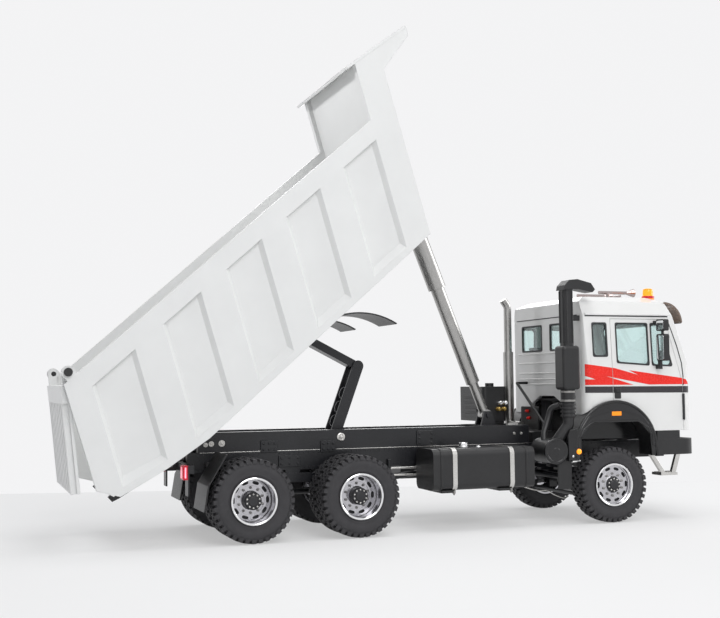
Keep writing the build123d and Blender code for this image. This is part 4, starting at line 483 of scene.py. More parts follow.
def rim_parts(m, outer, inner, face, hub_end):
    # A disc wheel: hub and inner disc, holed ring, barrel with its seat for the tyres.
    back = face - DISC_THICK
    hub = [
        (0.6, hub_end), (HUB_RADIUS - 1.5, hub_end), (HUB_RADIUS, hub_end - 1.5), (HUB_RADIUS, face + 1.2),
        (HUB_RADIUS + 1.0, face + 0.3), (HOLED_FROM, face), (HOLED_FROM, back), (HUB_RADIUS, back),
        (HUB_RADIUS, back - 4), (STUB_BORE, back - 4), (STUB_BORE, hub_end - 3), (0.6, hub_end - 3),
    ]
    barrel = [
        (HOLED_TO, face), (RIM_BARREL, face + 0.6), (RIM_BARREL, outer - 1.8), (RIM_SEAT - 0.4, outer - 0.3),
        (RIM_SEAT, outer - 0.3), (RIM_SEAT, inner), (RIM_BARREL, inner), (RIM_BARREL, back), (HOLED_TO, back),
        (HOLED_TO, face),
    ]
    parts = [turned_part(hub, m, 80), turned_part(barrel, m, 80, caps=False)]
    for i in range(HAND_HOLES):
        parts.append(holed_sector(m, 2 * math.pi * i / HAND_HOLES, face, back))
    return parts


FRONT_X, MIDDLE_X, REAR_X = 406.5, 111.0, 0.0
TWIN_PITCH, RIM_WIDTH = 27.0, 23.2
WHEELS = [
    # word, axle x, outer half width, tyres, disc face y, hub end y, nut circle, hub circle
    ("front", FRONT_X, 88.0, 1, 82.7, 86.2, 12.0, 6.5),
    ("middle", MIDDLE_X, 89.5, 2, 72.2, 84.2, 12.4, 6.6),
    ("rear", REAR_X, 89.5, 2, 72.2, 84.2, 12.4, 6.6),
]
NUTS = 10
for word, axle_x, outer, count, face_y, hub_y, nut_circle, hub_circle in WHEELS:
    for side, sign in SIDES:
        single = count == 1
        body = f"{word}_{side}_wheel" if single else f"{word}_{side}_wheels"
        node_name = f"{word}_{side}_tyre" if single else f"{word}_{side}_tyres"
        parts = []
        for i in range(count):
            parts += tyre_parts(axle_x, sign * (outer - TYRE_HALF - TWIN_PITCH * i))
        made = piece(f"{word}_{side}_tread", parts, RUBBER, body, 28)
        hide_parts(node_name)
        nuts, bolts = [], []
        axis = (0, sign, 0)
        for i in range(NUTS):
            a = 2 * math.pi * (i + 0.5) / NUTS
            c, s = math.cos(a), math.sin(a)
            at = place(axle_x + nut_circle * c, sign * (face_y + 0.4), TYRE_RADIUS + nut_circle * s)
            nuts += nut(at, axis, 1.4, 1.3)
            at = place(axle_x + hub_circle * c, sign * (hub_y - 0.1), TYRE_RADIUS + hub_circle * s)
            bolts += nut(at, axis, 1.0, 0.9)
        hub = frame_at(place(axle_x, 0, TYRE_RADIUS), axis)
        inner = outer - RIM_WIDTH - TWIN_PITCH * (count - 1)
        rim = rim_parts(hub, outer, inner, face_y, hub_y)
        rim = piece(f"{word}_{side}_disc", rim, WHEEL, body, 35)
        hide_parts(f"{word}_{side}_rim")
        back = face_y - DISC_THICK
        # A thin dark ring just behind the holed band, so the hand holes show dark: painted shade for the
        # wheel's shaded inside.
        hole_shade = [
            (HOLED_FROM - 0.5, back - 0.1), (HOLED_TO + 0.3, back - 0.1), (HOLED_TO + 0.3, back - 1.1),
            (HOLED_FROM - 0.5, back - 1.1), (HOLED_FROM - 0.5, back - 0.1),
        ]
        piece(f"{word}_{side}_drum", [turned_part(hole_shade, hub, 64, caps=False)], SEAL, body, 30)
        cap = [
            (HUB_RADIUS + 0.2, face_y + 1.3), (HUB_RADIUS + 0.2, hub_y - 1.2), (HUB_RADIUS - 0.8, hub_y),
            (5.2, hub_y + 0.1), (5.0, hub_y + 0.9), (4.4, hub_y + 1.3), (2.0, hub_y + 1.4),
        ]
        cap = turned_part(cap, hub, 40)
        # A chrome ring on the rim's lip, brighter than the disc metal: painted highlight along the rim's
        # edge.
        lip_highlight = [(20.9, -2.4), (21.3, -0.5), (22.3, 0.1), (23.2, -0.2), (23.2, -1.8), (20.9, -2.4)]
        lip_highlight = turned_part([(r, outer + h) for r, h in lip_highlight], hub, 64, caps=False)
        piece(f"{word}_{side}_lip", [lip_highlight], CHROME, body, 30)
        piece(f"{word}_{side}_nuts", nuts, STEEL, body, 25)
        piece(f"{word}_{side}_hub_bolts", bolts, STRAP, body, 25)
        piece(f"{word}_{side}_hub_cap", [cap], HUB_DARK, body, 30)

# Cab sides: a point of the surface at a length along the side and a height
CAB_HALF, GUTTER_HALF, WAIST_Z, GUTTER_Z = 84.0, 80.0, 161.0, 229.0
CAB_REAR_X, CAB_FRONT_X, CORNER = 374.0, 513.0, 9.0
CORNER_CUTS = (505.5, 507, 508.5, 510, 511, 511.8, 378, 379.5, 381)
ROOF_ABOVE = 400


def side_y(x, z):
    lean = max(0.0, z - WAIST_Z) * (CAB_HALF - GUTTER_HALF) / (GUTTER_Z - WAIST_Z)
    inside = 0.0
    for over in (x - (CAB_FRONT_X - CORNER), (CAB_REAR_X + CORNER) - x):
        if over > 0:
            inside = CORNER - math.sqrt(max(0.0, CORNER ** 2 - over ** 2))
    return CAB_HALF - max(lean, inside)


def on_side(sign):
    return lambda p, height: place(p[0], sign * (side_y(*p) + height), p[1])


def clipped(poly, axis, value, keep_above):
    # A convex polygon cut by a straight line across one axis.
    out = []
    for k, p in enumerate(poly):
        q = poly[(k + 1) % len(poly)]
        p_in = (p[axis] >= value) if keep_above else (p[axis] <= value)
        q_in = (q[axis] >= value) if keep_above else (q[axis] <= value)
        if p_in:
            out.append(p)
        if p_in != q_in:
            t = (value - p[axis]) / (q[axis] - p[axis])
            out.append((p[0] + t * (q[0] - p[0]), p[1] + t * (q[1] - p[1])))
    return out


def decal(name, shape, x_from, x_to, sign, mat, body, proud=0.12):
    # A thin film on the cab's side between two lengths, cut into strips that follow its corners.
    cuts = [x_from, x_to] + [x for x in (CAB_REAR_X + CORNER, CAB_FRONT_X - CORNER) if x_from < x < x_to]
    cuts += [x for x in CORNER_CUTS if x_from < x < x_to]
    cuts = sorted(set(cuts))
    triangles = tessellate_polygon([[Vector((x, z, 0)) for x, z in shape]])
    parts = []
    for tri in triangles:
        for low_x, high_x in zip(cuts, cuts[1:]):
            for low_z, high_z in ((0, WAIST_Z), (WAIST_Z, ROOF_ABOVE)):
                poly = [shape[i] for i in tri]
                sides = ((0, low_x, True), (0, high_x, False), (1, low_z, True), (1, high_z, False))
                for axis, value, above in sides:
                    poly = clipped(poly, axis, value, above) if len(poly) > 2 else []
                if len(poly) > 2:
                    parts.append(slab(poly, on_side(sign), -0.05, proud))
    return piece(name, parts, mat, body, 40)


RED_SHAPE = [
    (376.0, 174.0), (413.0, 169.3), (442.6, 161.7), (431.0, 166.9), (499.0, 158.0), (506.0, 156.2),
    (510.5, 150.7), (456.8, 150.7), (401.2, 160.5), (436.2, 150.7), (376.0, 150.9), (376.0, 157.2),
    (387.5, 156.9), (376.0, 160.8),
]
BAND_SHAPE = [(376.0, 149.3), (512.0, 148.5), (512.0, 141.2), (376.0, 142.3)]
PANELS = [
    # word, x from, x to
    ("quarter", 376.2, 409.5),
    ("door", 410.1, 500.9),
    ("corner", 501.4, 511.9),
]
for side, sign in SIDES:
    for word, x_from, x_to in PANELS:
        body = f"door_{side}" if word == "door" else "chassis"
        decal(f"{word}_{side}_red", RED_SHAPE, x_from, x_to, sign, STRIPE_RED, body)
        decal(f"{word}_{side}_band", BAND_SHAPE, x_from, x_to, sign, STRIPE_BLACK, body)

# Window seals: a moulded strip around each opening
SEAL_WIDTH, SEAL_ROUND = 1.7, 2.2
SIDE_WINDOWS = {
    "door": [
        [(416.0, 175.0), (458.4, 172.0), (458.4, 220.0), (416.0, 220.0)],
        [(461.6, 172.0), (489.0, 171.0), (477.0, 220.0), (461.6, 220.0)],
    ],
    "quarter": [[(386.0, 182.0), (405.0, 182.0), (405.0, 220.0), (386.0, 220.0)]],
}
for side, sign in SIDES:
    for word, windows in SIDE_WINDOWS.items():
        body = f"door_{side}" if word == "door" else "chassis"
        seals = [strip(w, SEAL_WIDTH, SEAL_ROUND, on_side(sign)) for w in windows]
        piece(f"{word}_{side}_seals", seals, SEAL, body, 50)
REAR_WINDOWS = [rectangle(y0, y1, 190.5, 221.5) for y0, y1 in ((9, 58), (-58, -9))]
seals = []
for window in REAR_WINDOWS:
    seals.append(strip(window, SEAL_WIDTH, SEAL_ROUND, lambda p, h: place(CAB_REAR_X - h, p[0], p[1])))
piece("rear_window_seals", seals, SEAL, "chassis", 50)
BROW_X = 492.0
SCREEN = [(-74.0, 166.0), (74.0, 166.0), (70.0, 222.0), (-70.0, 222.0)]
SCREEN_RAKE = (BROW_X - CAB_FRONT_X) / (GUTTER_Z - WAIST_Z)
screen_normal = Vector((1, 0, -SCREEN_RAKE)).normalized()


def on_screen(p, height):
    x = CAB_FRONT_X + (p[1] - WAIST_Z) * SCREEN_RAKE
    return place(x, p[0], p[1]) + screen_normal * height / 1000


piece("screen_seal", [strip(SCREEN, 2.2, 4.0, on_screen)], SEAL, "chassis", 50)

# Cab fittings: gutters with a dark strip of painted shadow under each, handles, hinge covers, mirror glass,
# beads and seam of the rear wall, wipers
DOOR_AXIS = (501.5, 84.5)
HINGE_COVER_Z = (110.8, 140.2)
GUTTER_X = (378, 486)
MIRROR_REAR_X = 465.0
MIRROR_Y, MIRROR_Z = (89.2, 101.8), ((178.5, 205.5), (212, 222))
for side, sign in SIDES:
    gutter = slab(rectangle(*GUTTER_X, 228.2, 230.4), on_side(sign), -0.3, 1.4, 0.5)
    piece(f"gutter_{side}", [gutter], CAB_PAINT, "chassis", 40)
    # A dark seal-rubber strip under each gutter: painted shadow where the gutter's edge shades the side.
    painted_gutter_shadow = slab(rectangle(*GUTTER_X, 226.8, 228.1), on_side(sign), -0.3, 0.3, 0.1)
    piece(f"gutter_{side}_painted_shadow", [painted_gutter_shadow], SEAL, "chassis", 40)
    handle = [slab(rectangle(411.5, 419.6, 135.6, 148.6), on_side(sign), -0.2, 0.8, 0.3, 1.2)]
    handle.append(slab(rectangle(412.6, 418.6, 142.4, 146.6), on_side(sign), 0.6, 2.0, 0.6, 0.9))
    piece(f"door_{side}_handle", handle, PLASTIC, f"door_{side}", 40)
    axis = frame_at(place(DOOR_AXIS[0], sign * DOOR_AXIS[1], 0), (0, 0, 1))
    low, high = HINGE_COVER_Z
    cover = turned_part([(1.1, low), (1.5, low + 0.4), (1.5, high - 0.4), (1.1, high)], axis, 16)
    piece(f"door_{side}_hinge_cover", [cover], SEAL, f"door_{side}", 40)

    def on_mirror(p, height):
        return place(MIRROR_REAR_X - height, sign * p[0], p[1])

    faces = [slab(rectangle(*MIRROR_Y, *z), on_mirror, -0.1, 0.4, 0.2, 2.0) for z in MIRROR_Z]
    piece(f"door_{side}_mirror_glass", faces, MIRROR, f"door_{side}", 40)
DOOR_FRONT_EDGE = [
    (486.4, 221.0), (490.5, 210.0), (496.0, 194.0), (501.0, 174.8), (502.0, 160.0), (502.0, 149.6),
]
for side, sign in SIDES:
    line = tube([on_side(sign)(p, 0.1) for p in DOOR_FRONT_EDGE], 0.6, 8)
    piece(f"corner_{side}_painted_shadow", [line], SEAL, "chassis", 40)
BEAD_Z = (188.0, 177.0, 165.0, 158.0, 152.0)
BEAD_HALF_LENGTH = 66
beads = [
    tube([place(CAB_REAR_X, -BEAD_HALF_LENGTH, z), place(CAB_REAR_X, BEAD_HALF_LENGTH, z)], 0.9, 10)
    for z in BEAD_Z
]
piece("rear_wall_beads", beads, CAB_PAINT, "chassis", 50)
SEAM_HALF_LENGTH, ROOF_SEAM_Z = 70, 228.8
thin_line = [place(CAB_REAR_X, y, ROOF_SEAM_Z) for y in (-SEAM_HALF_LENGTH, SEAM_HALF_LENGTH)]
thin_line = tube(thin_line, 0.6, 8)
piece("rear_roof_seam", [thin_line], SEAL, "chassis", 40)
WIPER_FEET_Y = (-34.0, 14.0)
wipers = []
for y in WIPER_FEET_Y:
    foot, tip = (y, 163.0), (y + 26.0, 170.4)
    wipers.append(tube([on_screen(foot, 1.0), on_screen(foot, 2.6), on_screen(tip, 2.2)], 0.7, 8))
    wipers.append(tube([on_screen((y + 4.0, 170.0), 1.2), on_screen((y + 48.0, 171.2), 1.2)], 0.8, 8))
piece("wipers", wipers, SEAL, "chassis", 40)

# Frame: bolted plates, ringed bolts and rivet rows on the rails, and a bright strip of painted highlight
# along each rail's top edge
RAIL_Y = 32.0
RINGED_BOLTS = [
    # x, z, washer radius
    (-36.2, 94.6, 2.4), (-30.3, 95.4, 2.8), (-19.6, 95.6, 3.4), (108.7, 98.9, 4.4), (313.5, 97.9, 1.6),
    (322.3, 97.7, 1.6),
]
PLATES = [
    # x from, x to, z from, z to, columns, rows of screws
    (21.0, 39.0, 85.0, 97.6, 3, 2), (85.6, 102.6, 83.7, 96.0, 3, 2), (195.0, 215.7, 87.0, 103.6, 2, 3),
    (40.0, 64.0, 69.6, 82.0, 3, 2),
]
RIVET_ROWS = [
    # z, x from, x to
    (84.2, -44.0, 190.0), (69.4, -44.0, 190.0), (84.2, 320.0, 500.0),
]
RIVET_PITCH = 5.2
# A thin strip along the rail's top edge: painted highlight where that edge catches the light.
RAIL_HIGHLIGHT_SHAPE = rectangle(-42, 331, 86.2, 86.8)
SCREW_MARGIN = 3.2


def spread(low, high, count):
    return [low + (high - low) * i / (count - 1) for i in range(count)]


def under_plate(x, z):
    return any(x0 - 1 < x < x1 + 1 and z0 - 1 < z < z1 + 1 for x0, x1, z0, z1, _, _ in PLATES)


for side, sign in SIDES:
    outward = (0, sign, 0)

    def on_rail(p, height):
        return place(p[0], sign * (RAIL_Y + height), p[1])

    bolts = []
    for x, z, radius in RINGED_BOLTS:
        bolts += ring_bolt(on_rail((x, z), -0.1), outward, radius)
    piece(f"frame_bolts_{side}", bolts, STRAP, "chassis", 35)
    plates = []
    for x0, x1, z0, z1, columns, rows in PLATES:
        plates.append(slab(rectangle(x0, x1, z0, z1), on_rail, -0.1, 1.4, 0.4, 1.2))
        for x in spread(x0 + SCREW_MARGIN, x1 - SCREW_MARGIN, columns):
            for z in spread(z0 + SCREW_MARGIN, z1 - SCREW_MARGIN, rows):
                plates += screw(on_rail((x, z), 1.3), outward, 1.3, 1.0)
    for z, x_from, x_to in RIVET_ROWS:
        for x in spread(x_from, x_to, int((x_to - x_from) / RIVET_PITCH)):
            if not under_plate(x, z):
                plates += screw(on_rail((x, z), -0.1), outward, 0.8, 0.7)
    piece(f"frame_plates_{side}", plates, CHASSIS, "chassis", 35)
    # Painted highlight: a bright steel strip along the rail's top edge.
    thin_line = slab(RAIL_HIGHLIGHT_SHAPE, on_rail, -0.1, 0.3, 0.1)
    piece(f"frame_rail_highlight_{side}", [thin_line], STRAP, "chassis", 35)

# Front fenders: rolled edges, a crowned face, the foot and flap behind the wheel, the panel inside the arch
FENDER_X, FENDER_Z, FENDER_RADIUS, FENDER_OUTER_Y, FENDER_FOOT_Z = 411.0, 81.0, 52.0, 87.0, 72.0
ARCH_HALF, ARCH_TOP_Z, ARCH_CHAMFER = 45.0, 111.0, 16.0
EDGE_RADIUS, LINER_RADIUS = FENDER_RADIUS - 0.6, 48.5
FOOT_INNER_Y, FLAP_INNER_Y, LINER_Y = 78, 78.6, 56.2
FOOT_SHAPE = [(351, 69), (364, 69), (366, 78), (366.5, 94), (363, 104), (353, 103), (350.5, 97)]
FLAP_SHAPE = rectangle(341.0, 358.0, 38.5, 72.0)
SCREW_SPOT = (355.5, 74.0)
CROWN_STEPS, CROWN_ACROSS, CROWN_RISE = 48, 8, 1.2


def arch_reach(opening, angle):
    # Distance from the arch's centre to its opening's edge at an angle.
    c, s = math.cos(angle), math.sin(angle)
    for (x0, z0), (x1, z1) in zip(opening, opening[1:]):
        first = (x0 - FENDER_X) * s - (z0 - FENDER_Z) * c
        second = (x1 - FENDER_X) * s - (z1 - FENDER_Z) * c
        if first * second <= 0 and first != second:
            t = first / (first - second)
            reach = (x0 + (x1 - x0) * t - FENDER_X) * c + (z0 + (z1 - z0) * t - FENDER_Z) * s
            if reach > 0:
                return reach
    return ARCH_HALF


for side, sign in SIDES:
    outer_edge = [(FENDER_X - EDGE_RADIUS, FENDER_FOOT_Z)]
    liner = []
    for i in range(33):
        a = math.pi * (1 - i / 32)
        c, s = math.cos(a), math.sin(a)
        outer_edge.append((FENDER_X + EDGE_RADIUS * c, FENDER_Z + EDGE_RADIUS * s))
        if s > 0.13:
            liner.append((FENDER_X - LINER_RADIUS * c, FENDER_Z + LINER_RADIUS * s))
    outer_edge.append((FENDER_X + EDGE_RADIUS, FENDER_FOOT_Z))
    low, high = FENDER_X - ARCH_HALF, FENDER_X + ARCH_HALF
    opening = [
        (low, FENDER_FOOT_Z), (low, ARCH_TOP_Z - ARCH_CHAMFER), (low + 4, ARCH_TOP_Z - 8),
        (low + ARCH_CHAMFER, ARCH_TOP_Z), (high - ARCH_CHAMFER, ARCH_TOP_Z), (high - 4, ARCH_TOP_Z - 8),
        (high, ARCH_TOP_Z - ARCH_CHAMFER), (high, FENDER_FOOT_Z),
    ]
    edges = [tube([place(x, sign * (FENDER_OUTER_Y - 0.2), z) for x, z in outer_edge], 1.6, 12)]
    edges.append(tube([place(x, sign * (FENDER_OUTER_Y - 0.4), z) for x, z in opening], 1.2, 12))
    edges.append(slab(FOOT_SHAPE, lambda p, h: place(p[0], sign * (FOOT_INNER_Y + h), p[1]), 0, 9.4, 1.0))
    edges.append(slab(liner[::-1], lambda p, h: place(p[0], sign * (LINER_Y + h), p[1]), 0, 1.6))
    piece(f"fender_edges_{side}", edges, FENDER_GLOSS, "chassis", 40)
    rings = []
    for i in range(CROWN_STEPS + 1):
        a = math.pi * (0.985 - 0.97 * i / CROWN_STEPS)
        inside, outside = arch_reach(opening, a) + 0.6, FENDER_RADIUS - 1.0
        ring = []
        for j in range(CROWN_ACROSS + 1):
            share = j / CROWN_ACROSS
            ring.append((inside + (outside - inside) * share, CROWN_RISE * math.sin(math.pi * share)))
        ring += [(outside, -0.8), (inside, -0.8)]
        c, s = math.cos(a), math.sin(a)
        rings.append([
            place(FENDER_X + r * c, sign * (FENDER_OUTER_Y - 0.1 + h), FENDER_Z + r * s) for r, h in ring
        ])
    piece(f"fender_crown_{side}", [joined(rings, False)], FENDER_GLOSS, "chassis", 60)
    flap = slab(FLAP_SHAPE, lambda p, h: place(p[0], sign * (FLAP_INNER_Y + h), p[1]), 0, 1.6, 0.4, 1.0)
    piece(f"fender_flap_{side}", [flap], PLASTIC, "chassis", 40)
    foot_screw = screw(place(SCREW_SPOT[0], sign * 87.3, SCREW_SPOT[1]), (0, sign, 0), 1.2, 0.9)
    piece(f"fender_screw_{side}", foot_screw, CHROME, "chassis", 35)

# Steps under the bumper: sloped legs and a ribbed tread
STEP_LEGS = (
    [(456, 72.5), (461.5, 72.5), (477, 50), (471.5, 50)],
    [(490.5, 72.5), (496, 72.5), (488.5, 50), (483, 50)],
)
STEP_OUTER_Y, STEP_TREAD = 83.5, (469.5, 491.0, 49.0, 52.0)
parts = []
for sign in (1, -1):

    def on_step(p, depth):
        return place(p[0], sign * (STEP_OUTER_Y - depth), p[1])

    parts += [slab(leg, on_step, 0, 4.0) for leg in STEP_LEGS]
    parts.append(slab(rectangle(*STEP_TREAD), on_step, -0.6, 17.4))
    for y in spread(70.0, 81.0, 5):
        parts.append(tube([place(470, sign * y, 52.1), place(490.5, sign * y, 52.1)], 0.6, 8))
made = piece("step_pair", parts, STRAP, "chassis", 35)
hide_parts("steps")

# Stay of the bed: bright-edged ovals inside the two plates of the lower arm
STAY_FOOT, STAY_LEAN, STAY_PLATE_Y = (108.7, 98.9), math.radians(20.2), 9.0
OVAL_X, OVAL_WIDE, OVAL_TALL, OVAL_EDGE = -0.8, 3.7, 6.6, 0.8
OVAL_MIDDLES = (17.0, 33.0, 49.0)
angles = [2 * math.pi * i / 32 for i in range(32)]
ovals = []
for sign in (1, -1):

    def on_stay(p, height):
        x = STAY_FOOT[0] + p[0] * math.cos(STAY_LEAN) + p[1] * math.sin(STAY_LEAN)
        z = STAY_FOOT[1] - p[0] * math.sin(STAY_LEAN) + p[1] * math.cos(STAY_LEAN)
        return place(x, sign * (STAY_PLATE_Y - height), z)

    for middle in OVAL_MIDDLES:
        rings = []
        for inset, height in ((0.0, -0.3), (0.0, 0.25), (OVAL_EDGE, 0.25), (OVAL_EDGE, -0.3)):
            wide, tall = OVAL_WIDE - inset, OVAL_TALL - inset
            rings.append([
                on_stay((OVAL_X + wide * math.cos(a), middle + tall * math.sin(a)), height) for a in angles
            ])
        ovals.append(joined(rings, True))
piece("stay_ovals", ovals, WORN_EDGE, "scissor_lower", 40)

# Fuel tank: end beads, brackets under it, chrome filler, strap bolts, and a pair of pipes behind it
TANK_SECTION = rectangle(-86.0, -40.0, 43.0, 86.0)
TANK_ROUND = 7.0
CAP_X, TANK_MID_Y, TANK_TOP_Z = 236.0, -63.0, 86.0
STRAP_X = (215.5, 282.0)
BRACKET_TOP_Z = 43.2
beads = [hoop(TANK_SECTION, x, x + 3.0, 0.7, TANK_ROUND) for x in (199.0, 298.0)]
for x in STRAP_X:
    bracket = rectangle(x - 15, x - 1, -84, -46)
    beads.append(slab(bracket, lambda p, h: place(p[0], p[1], BRACKET_TOP_Z - h), 0, 2.8, 0.5, 1.5))
piece("tank_beads", beads, PLASTIC, "chassis", 40)
cap_axis = frame_at(place(CAP_X, TANK_MID_Y, TANK_TOP_Z), (0, 0, 1))
cap = turned_part([(5.8, 0), (5.8, 1.2), (5.2, 1.4), (5.2, 4.6), (4.5, 5.5), (1.6, 5.7)], cap_axis, 32)
vent_axis = frame_at(place(CAP_X + 14, TANK_MID_Y - 8, TANK_TOP_Z), (0, 0, 1))
vent = turned_part([(2.6, -0.2), (2.6, 1.0), (1.9, 1.8), (0.6, 2.0)], vent_axis, 20)
piece("filler_cap", [cap, vent], CHROME, "chassis", 35)
PIPE_X, PIPE_Y, PIPE_Z = (150, 200), -34.6, (64.6, 57.2)
HANGER_X, HANGER_Y, HANGER_Z = (162.0, 196.0), -31.9, (55.6, 74)
rods = [tube([place(x, PIPE_Y, z) for x in PIPE_X], 1.1, 12) for z in PIPE_Z]
piece("pipe_pair", rods, STRAP, "chassis", 40)
hangers = []
for x in HANGER_X:
    hanger = rectangle(x - 1.6, x + 1.6, *HANGER_Z)
    hangers.append(slab(hanger, lambda p, h: place(p[0], HANGER_Y - h, p[1]), 0, 4.0, 0.4))
piece("pipe_hangers", hangers, CHASSIS, "chassis", 40)
strap_bolts = []
for x in STRAP_X:
    strap_bolts += nut(place(x, -82.5, 42.4), (0, 0, -1), 1.9, 3.0)
piece("strap_bolts", strap_bolts, STEEL, "chassis", 30)

# Raised intake: ribs of the duct, clamps on the hose and the filter's cap
SNORKEL_X, SNORKEL_Y = 355.0, -80.0
DUCT_REAR_X, DUCT_OUTER_Y, DUCT_RIB_Z = 348.8, -87.0, (197, 254)
ribs = []
for x in (351.6, 358.4):
    rib = rectangle(x - 0.8, x + 0.8, *DUCT_RIB_Z)
    ribs.append(slab(rib, lambda p, h: place(p[0], DUCT_OUTER_Y - h, p[1]), -0.3, 0.7, 0.3))
for y in (-83.5, -76.5):
    rib = rectangle(y - 0.8, y + 0.8, *DUCT_RIB_Z)
    ribs.append(slab(rib, lambda p, h: place(DUCT_REAR_X - h, p[0], p[1]), -0.3, 0.7, 0.3))
piece("duct_ribs", ribs, PLASTIC, "chassis", 40)
hose_axis = frame_at(place(SNORKEL_X, SNORKEL_Y, 0), (0, 0, 1))
clamps = []
for z in (133.0, 142.6):
    clamps.append(turned_part([(7.9, z), (8.5, z + 0.2), (8.5, z + 2.2), (7.9, z + 2.4)], hose_axis, 28))
piece("hose_clamps", clamps, STEEL, "chassis", 35)
drum_axis = frame_at(place(336.0, -86.0, 80.0), (0, -1, 0))
drum_cap = [
    (13.6, -2.4), (14.2, -2.0), (14.2, 0.2), (13.4, 0.9), (11.4, 0.9), (10.8, 0.3), (4.0, 0.3),
    (3.4, 0.8), (1.0, 0.9),
]
piece("filter_cap", [turned_part(drum_cap, drum_axis, 48)], FENDER_GLOSS, "chassis", 35)

# Oil tank: silver and brass fittings on the face beside the lift
OIL_FACE_Y = 15.0
for word, mat, spots in (
    ("silver", CHROME, ((319.0, 131.0), (325.5, 131.0))),
    ("brass", BRASS, ((317.0, 124.0), (323.8, 124.0))),
):
    fittings = []
    for x, z in spots:
        root = place(x, OIL_FACE_Y + 0.1, z)
        fittings += nut(root, (0, -1, 0), 2.8, 2.6)
        stem = [(1.5, 2.4), (1.5, 4.2), (2.3, 4.6), (2.3, 6.0), (1.7, 6.6)]
        fittings.append(turned_part(stem, frame_at(root, (0, -1, 0)), 16))
    piece(f"{word}_fittings", fittings, mat, "chassis", 35)

# Behind the cab: a box on the rails with a plate and red plugs, a stay bar, a second pipe, a bent line
BOX_TOP_Z, BOX_HALF_WIDTH = 99.0, 30
PLATE_X, PLATE_THICK = 364.0, 2
PLUG_SPOTS = ((28.2, 120.5), (24.9, 112.3))
PLUG = [(1.9, -0.2), (1.9, 1.6), (1.5, 2.0), (1.5, 3.4), (0.8, 3.8)]
box = rectangle(338, 368, 85.8, BOX_TOP_Z)
box = slab(box, lambda p, h: place(p[0], h, p[1]), -BOX_HALF_WIDTH, BOX_HALF_WIDTH, 0.8, 1.5)
plate = rectangle(4, 46, BOX_TOP_Z - 1, 126)
plate = slab(plate, lambda p, h: place(PLATE_X + PLATE_THICK - h, p[0], p[1]), 0, PLATE_THICK, 0.4, 2.0)
piece("rear_box", [box, plate], PLASTIC, "chassis", 40)
plugs = [turned_part(PLUG, frame_at(place(PLATE_X, y, z), (-1, 0, 0)), 16) for y, z in PLUG_SPOTS]
piece("red_plugs", plugs, STRIPE_RED, "chassis", 35)
STAY_BAR = ((374.5, 47.0, 153.7), (360.0, 47.0, 153.7), (360.0, -18.9, 105.5), (360.0, -18.9, 98.0))
SECOND_PIPE = (
    (350, -70, 129), (343.6, -62, 126), (341.6, -61, 117.2), (337.5, -62, 107.4), (332.5, -64, 97),
    (331, -70, 86),
)
pipes = [
    tube([place(*p) for p in STAY_BAR], 1.7, 12),
    tube(eased([place(*p) for p in SECOND_PIPE]), 3.4, 16),
]
piece("rear_pipes", pipes, PLASTIC, "chassis", 60)
BENT_LINE = (
    (299, -44, 46), (337.5, -38, 33.3), (351.4, -38, 33.8), (357.6, -38, 29.1), (372, -38, 23.6),
    (377, -38, 26.0),
)
piece("bent_line", [tube(eased([place(*p) for p in BENT_LINE]), 0.9, 10)], STRAP, "chassis", 60)

# Lamps: lit beacon, turn lamps, tail lenses and the ribs of the headlamps
BEACON_X, BEACON_Y = 476.5, -57.0
beacon_axis = frame_at(place(BEACON_X, BEACON_Y, 0), (0, 0, 1))
base = turned_part([(7.2, 249.6), (7.2, 252.0), (6.4, 252.4)], beacon_axis, 28)
piece("beacon_base", [base], RED_LENS, "chassis", 35)
shell = [(6.1, 252.2), (6.1, 253.4), (5.8, 253.8), (5.8, 258.6), (5.2, 260.4), (3.4, 261.2), (1.2, 261.4)]
piece("beacon_shell", [turned_part(shell, beacon_axis, 28)], BEACON, "chassis", 35)
TURN_LAMP = (362.4, 88.3, 79.0)
TAIL_LAMP_X, TAIL_LAMP_OUTER_Y = -65.0, 67
HEADLAMP_X, HEADLAMP_Z = 517.7, (75.6, 85.9)
for side, sign in SIDES:
    dome_axis = frame_at(place(TURN_LAMP[0], sign * TURN_LAMP[1], TURN_LAMP[2]), (0, sign, 0))
    dome = turned_part([(2.8, -0.3), (2.8, 0.6), (2.0, 1.3), (0.6, 1.6)], dome_axis, 20)
    piece(f"turn_lamp_{side}", [dome], BEACON, "chassis", 40)

    def on_tail(p, height):
        return place(TAIL_LAMP_X - height, sign * p[0], p[1])

    lens = slab(rectangle(53.4, 66.6, 63.4, 76.6), on_tail, -0.2, 1.0, 0.5, 1.2)
    piece(f"tail_lens_{side}", [lens], RED_LENS, "chassis", 40)
    lit = slab(rectangle(58.0, 60.6, 64.6, 75.4), on_tail, 0.8, 1.3, 0.2, 0.6)
    streak = rectangle(-64.2, -62.7, 64.8, 75.2)
    streak = slab(streak, lambda p, h: place(p[0], sign * (TAIL_LAMP_OUTER_Y + h), p[1]), -0.2, 0.4, 0.2)
    piece(f"tail_lit_{side}", [lit, streak], TAIL_LIT, "chassis", 40)

    def on_headlamp(p, height):
        return place(HEADLAMP_X + height, sign * p[0], p[1])

    bars = []
    for y in spread(51.5, 70.5, 9):
        bars.append(slab(rectangle(y - 0.5, y + 0.5, *HEADLAMP_Z), on_headlamp, -0.3, 0.5, 0.2))
    piece(f"headlamp_ribs_{side}", bars, LAMP_CLEAR, "chassis", 40)

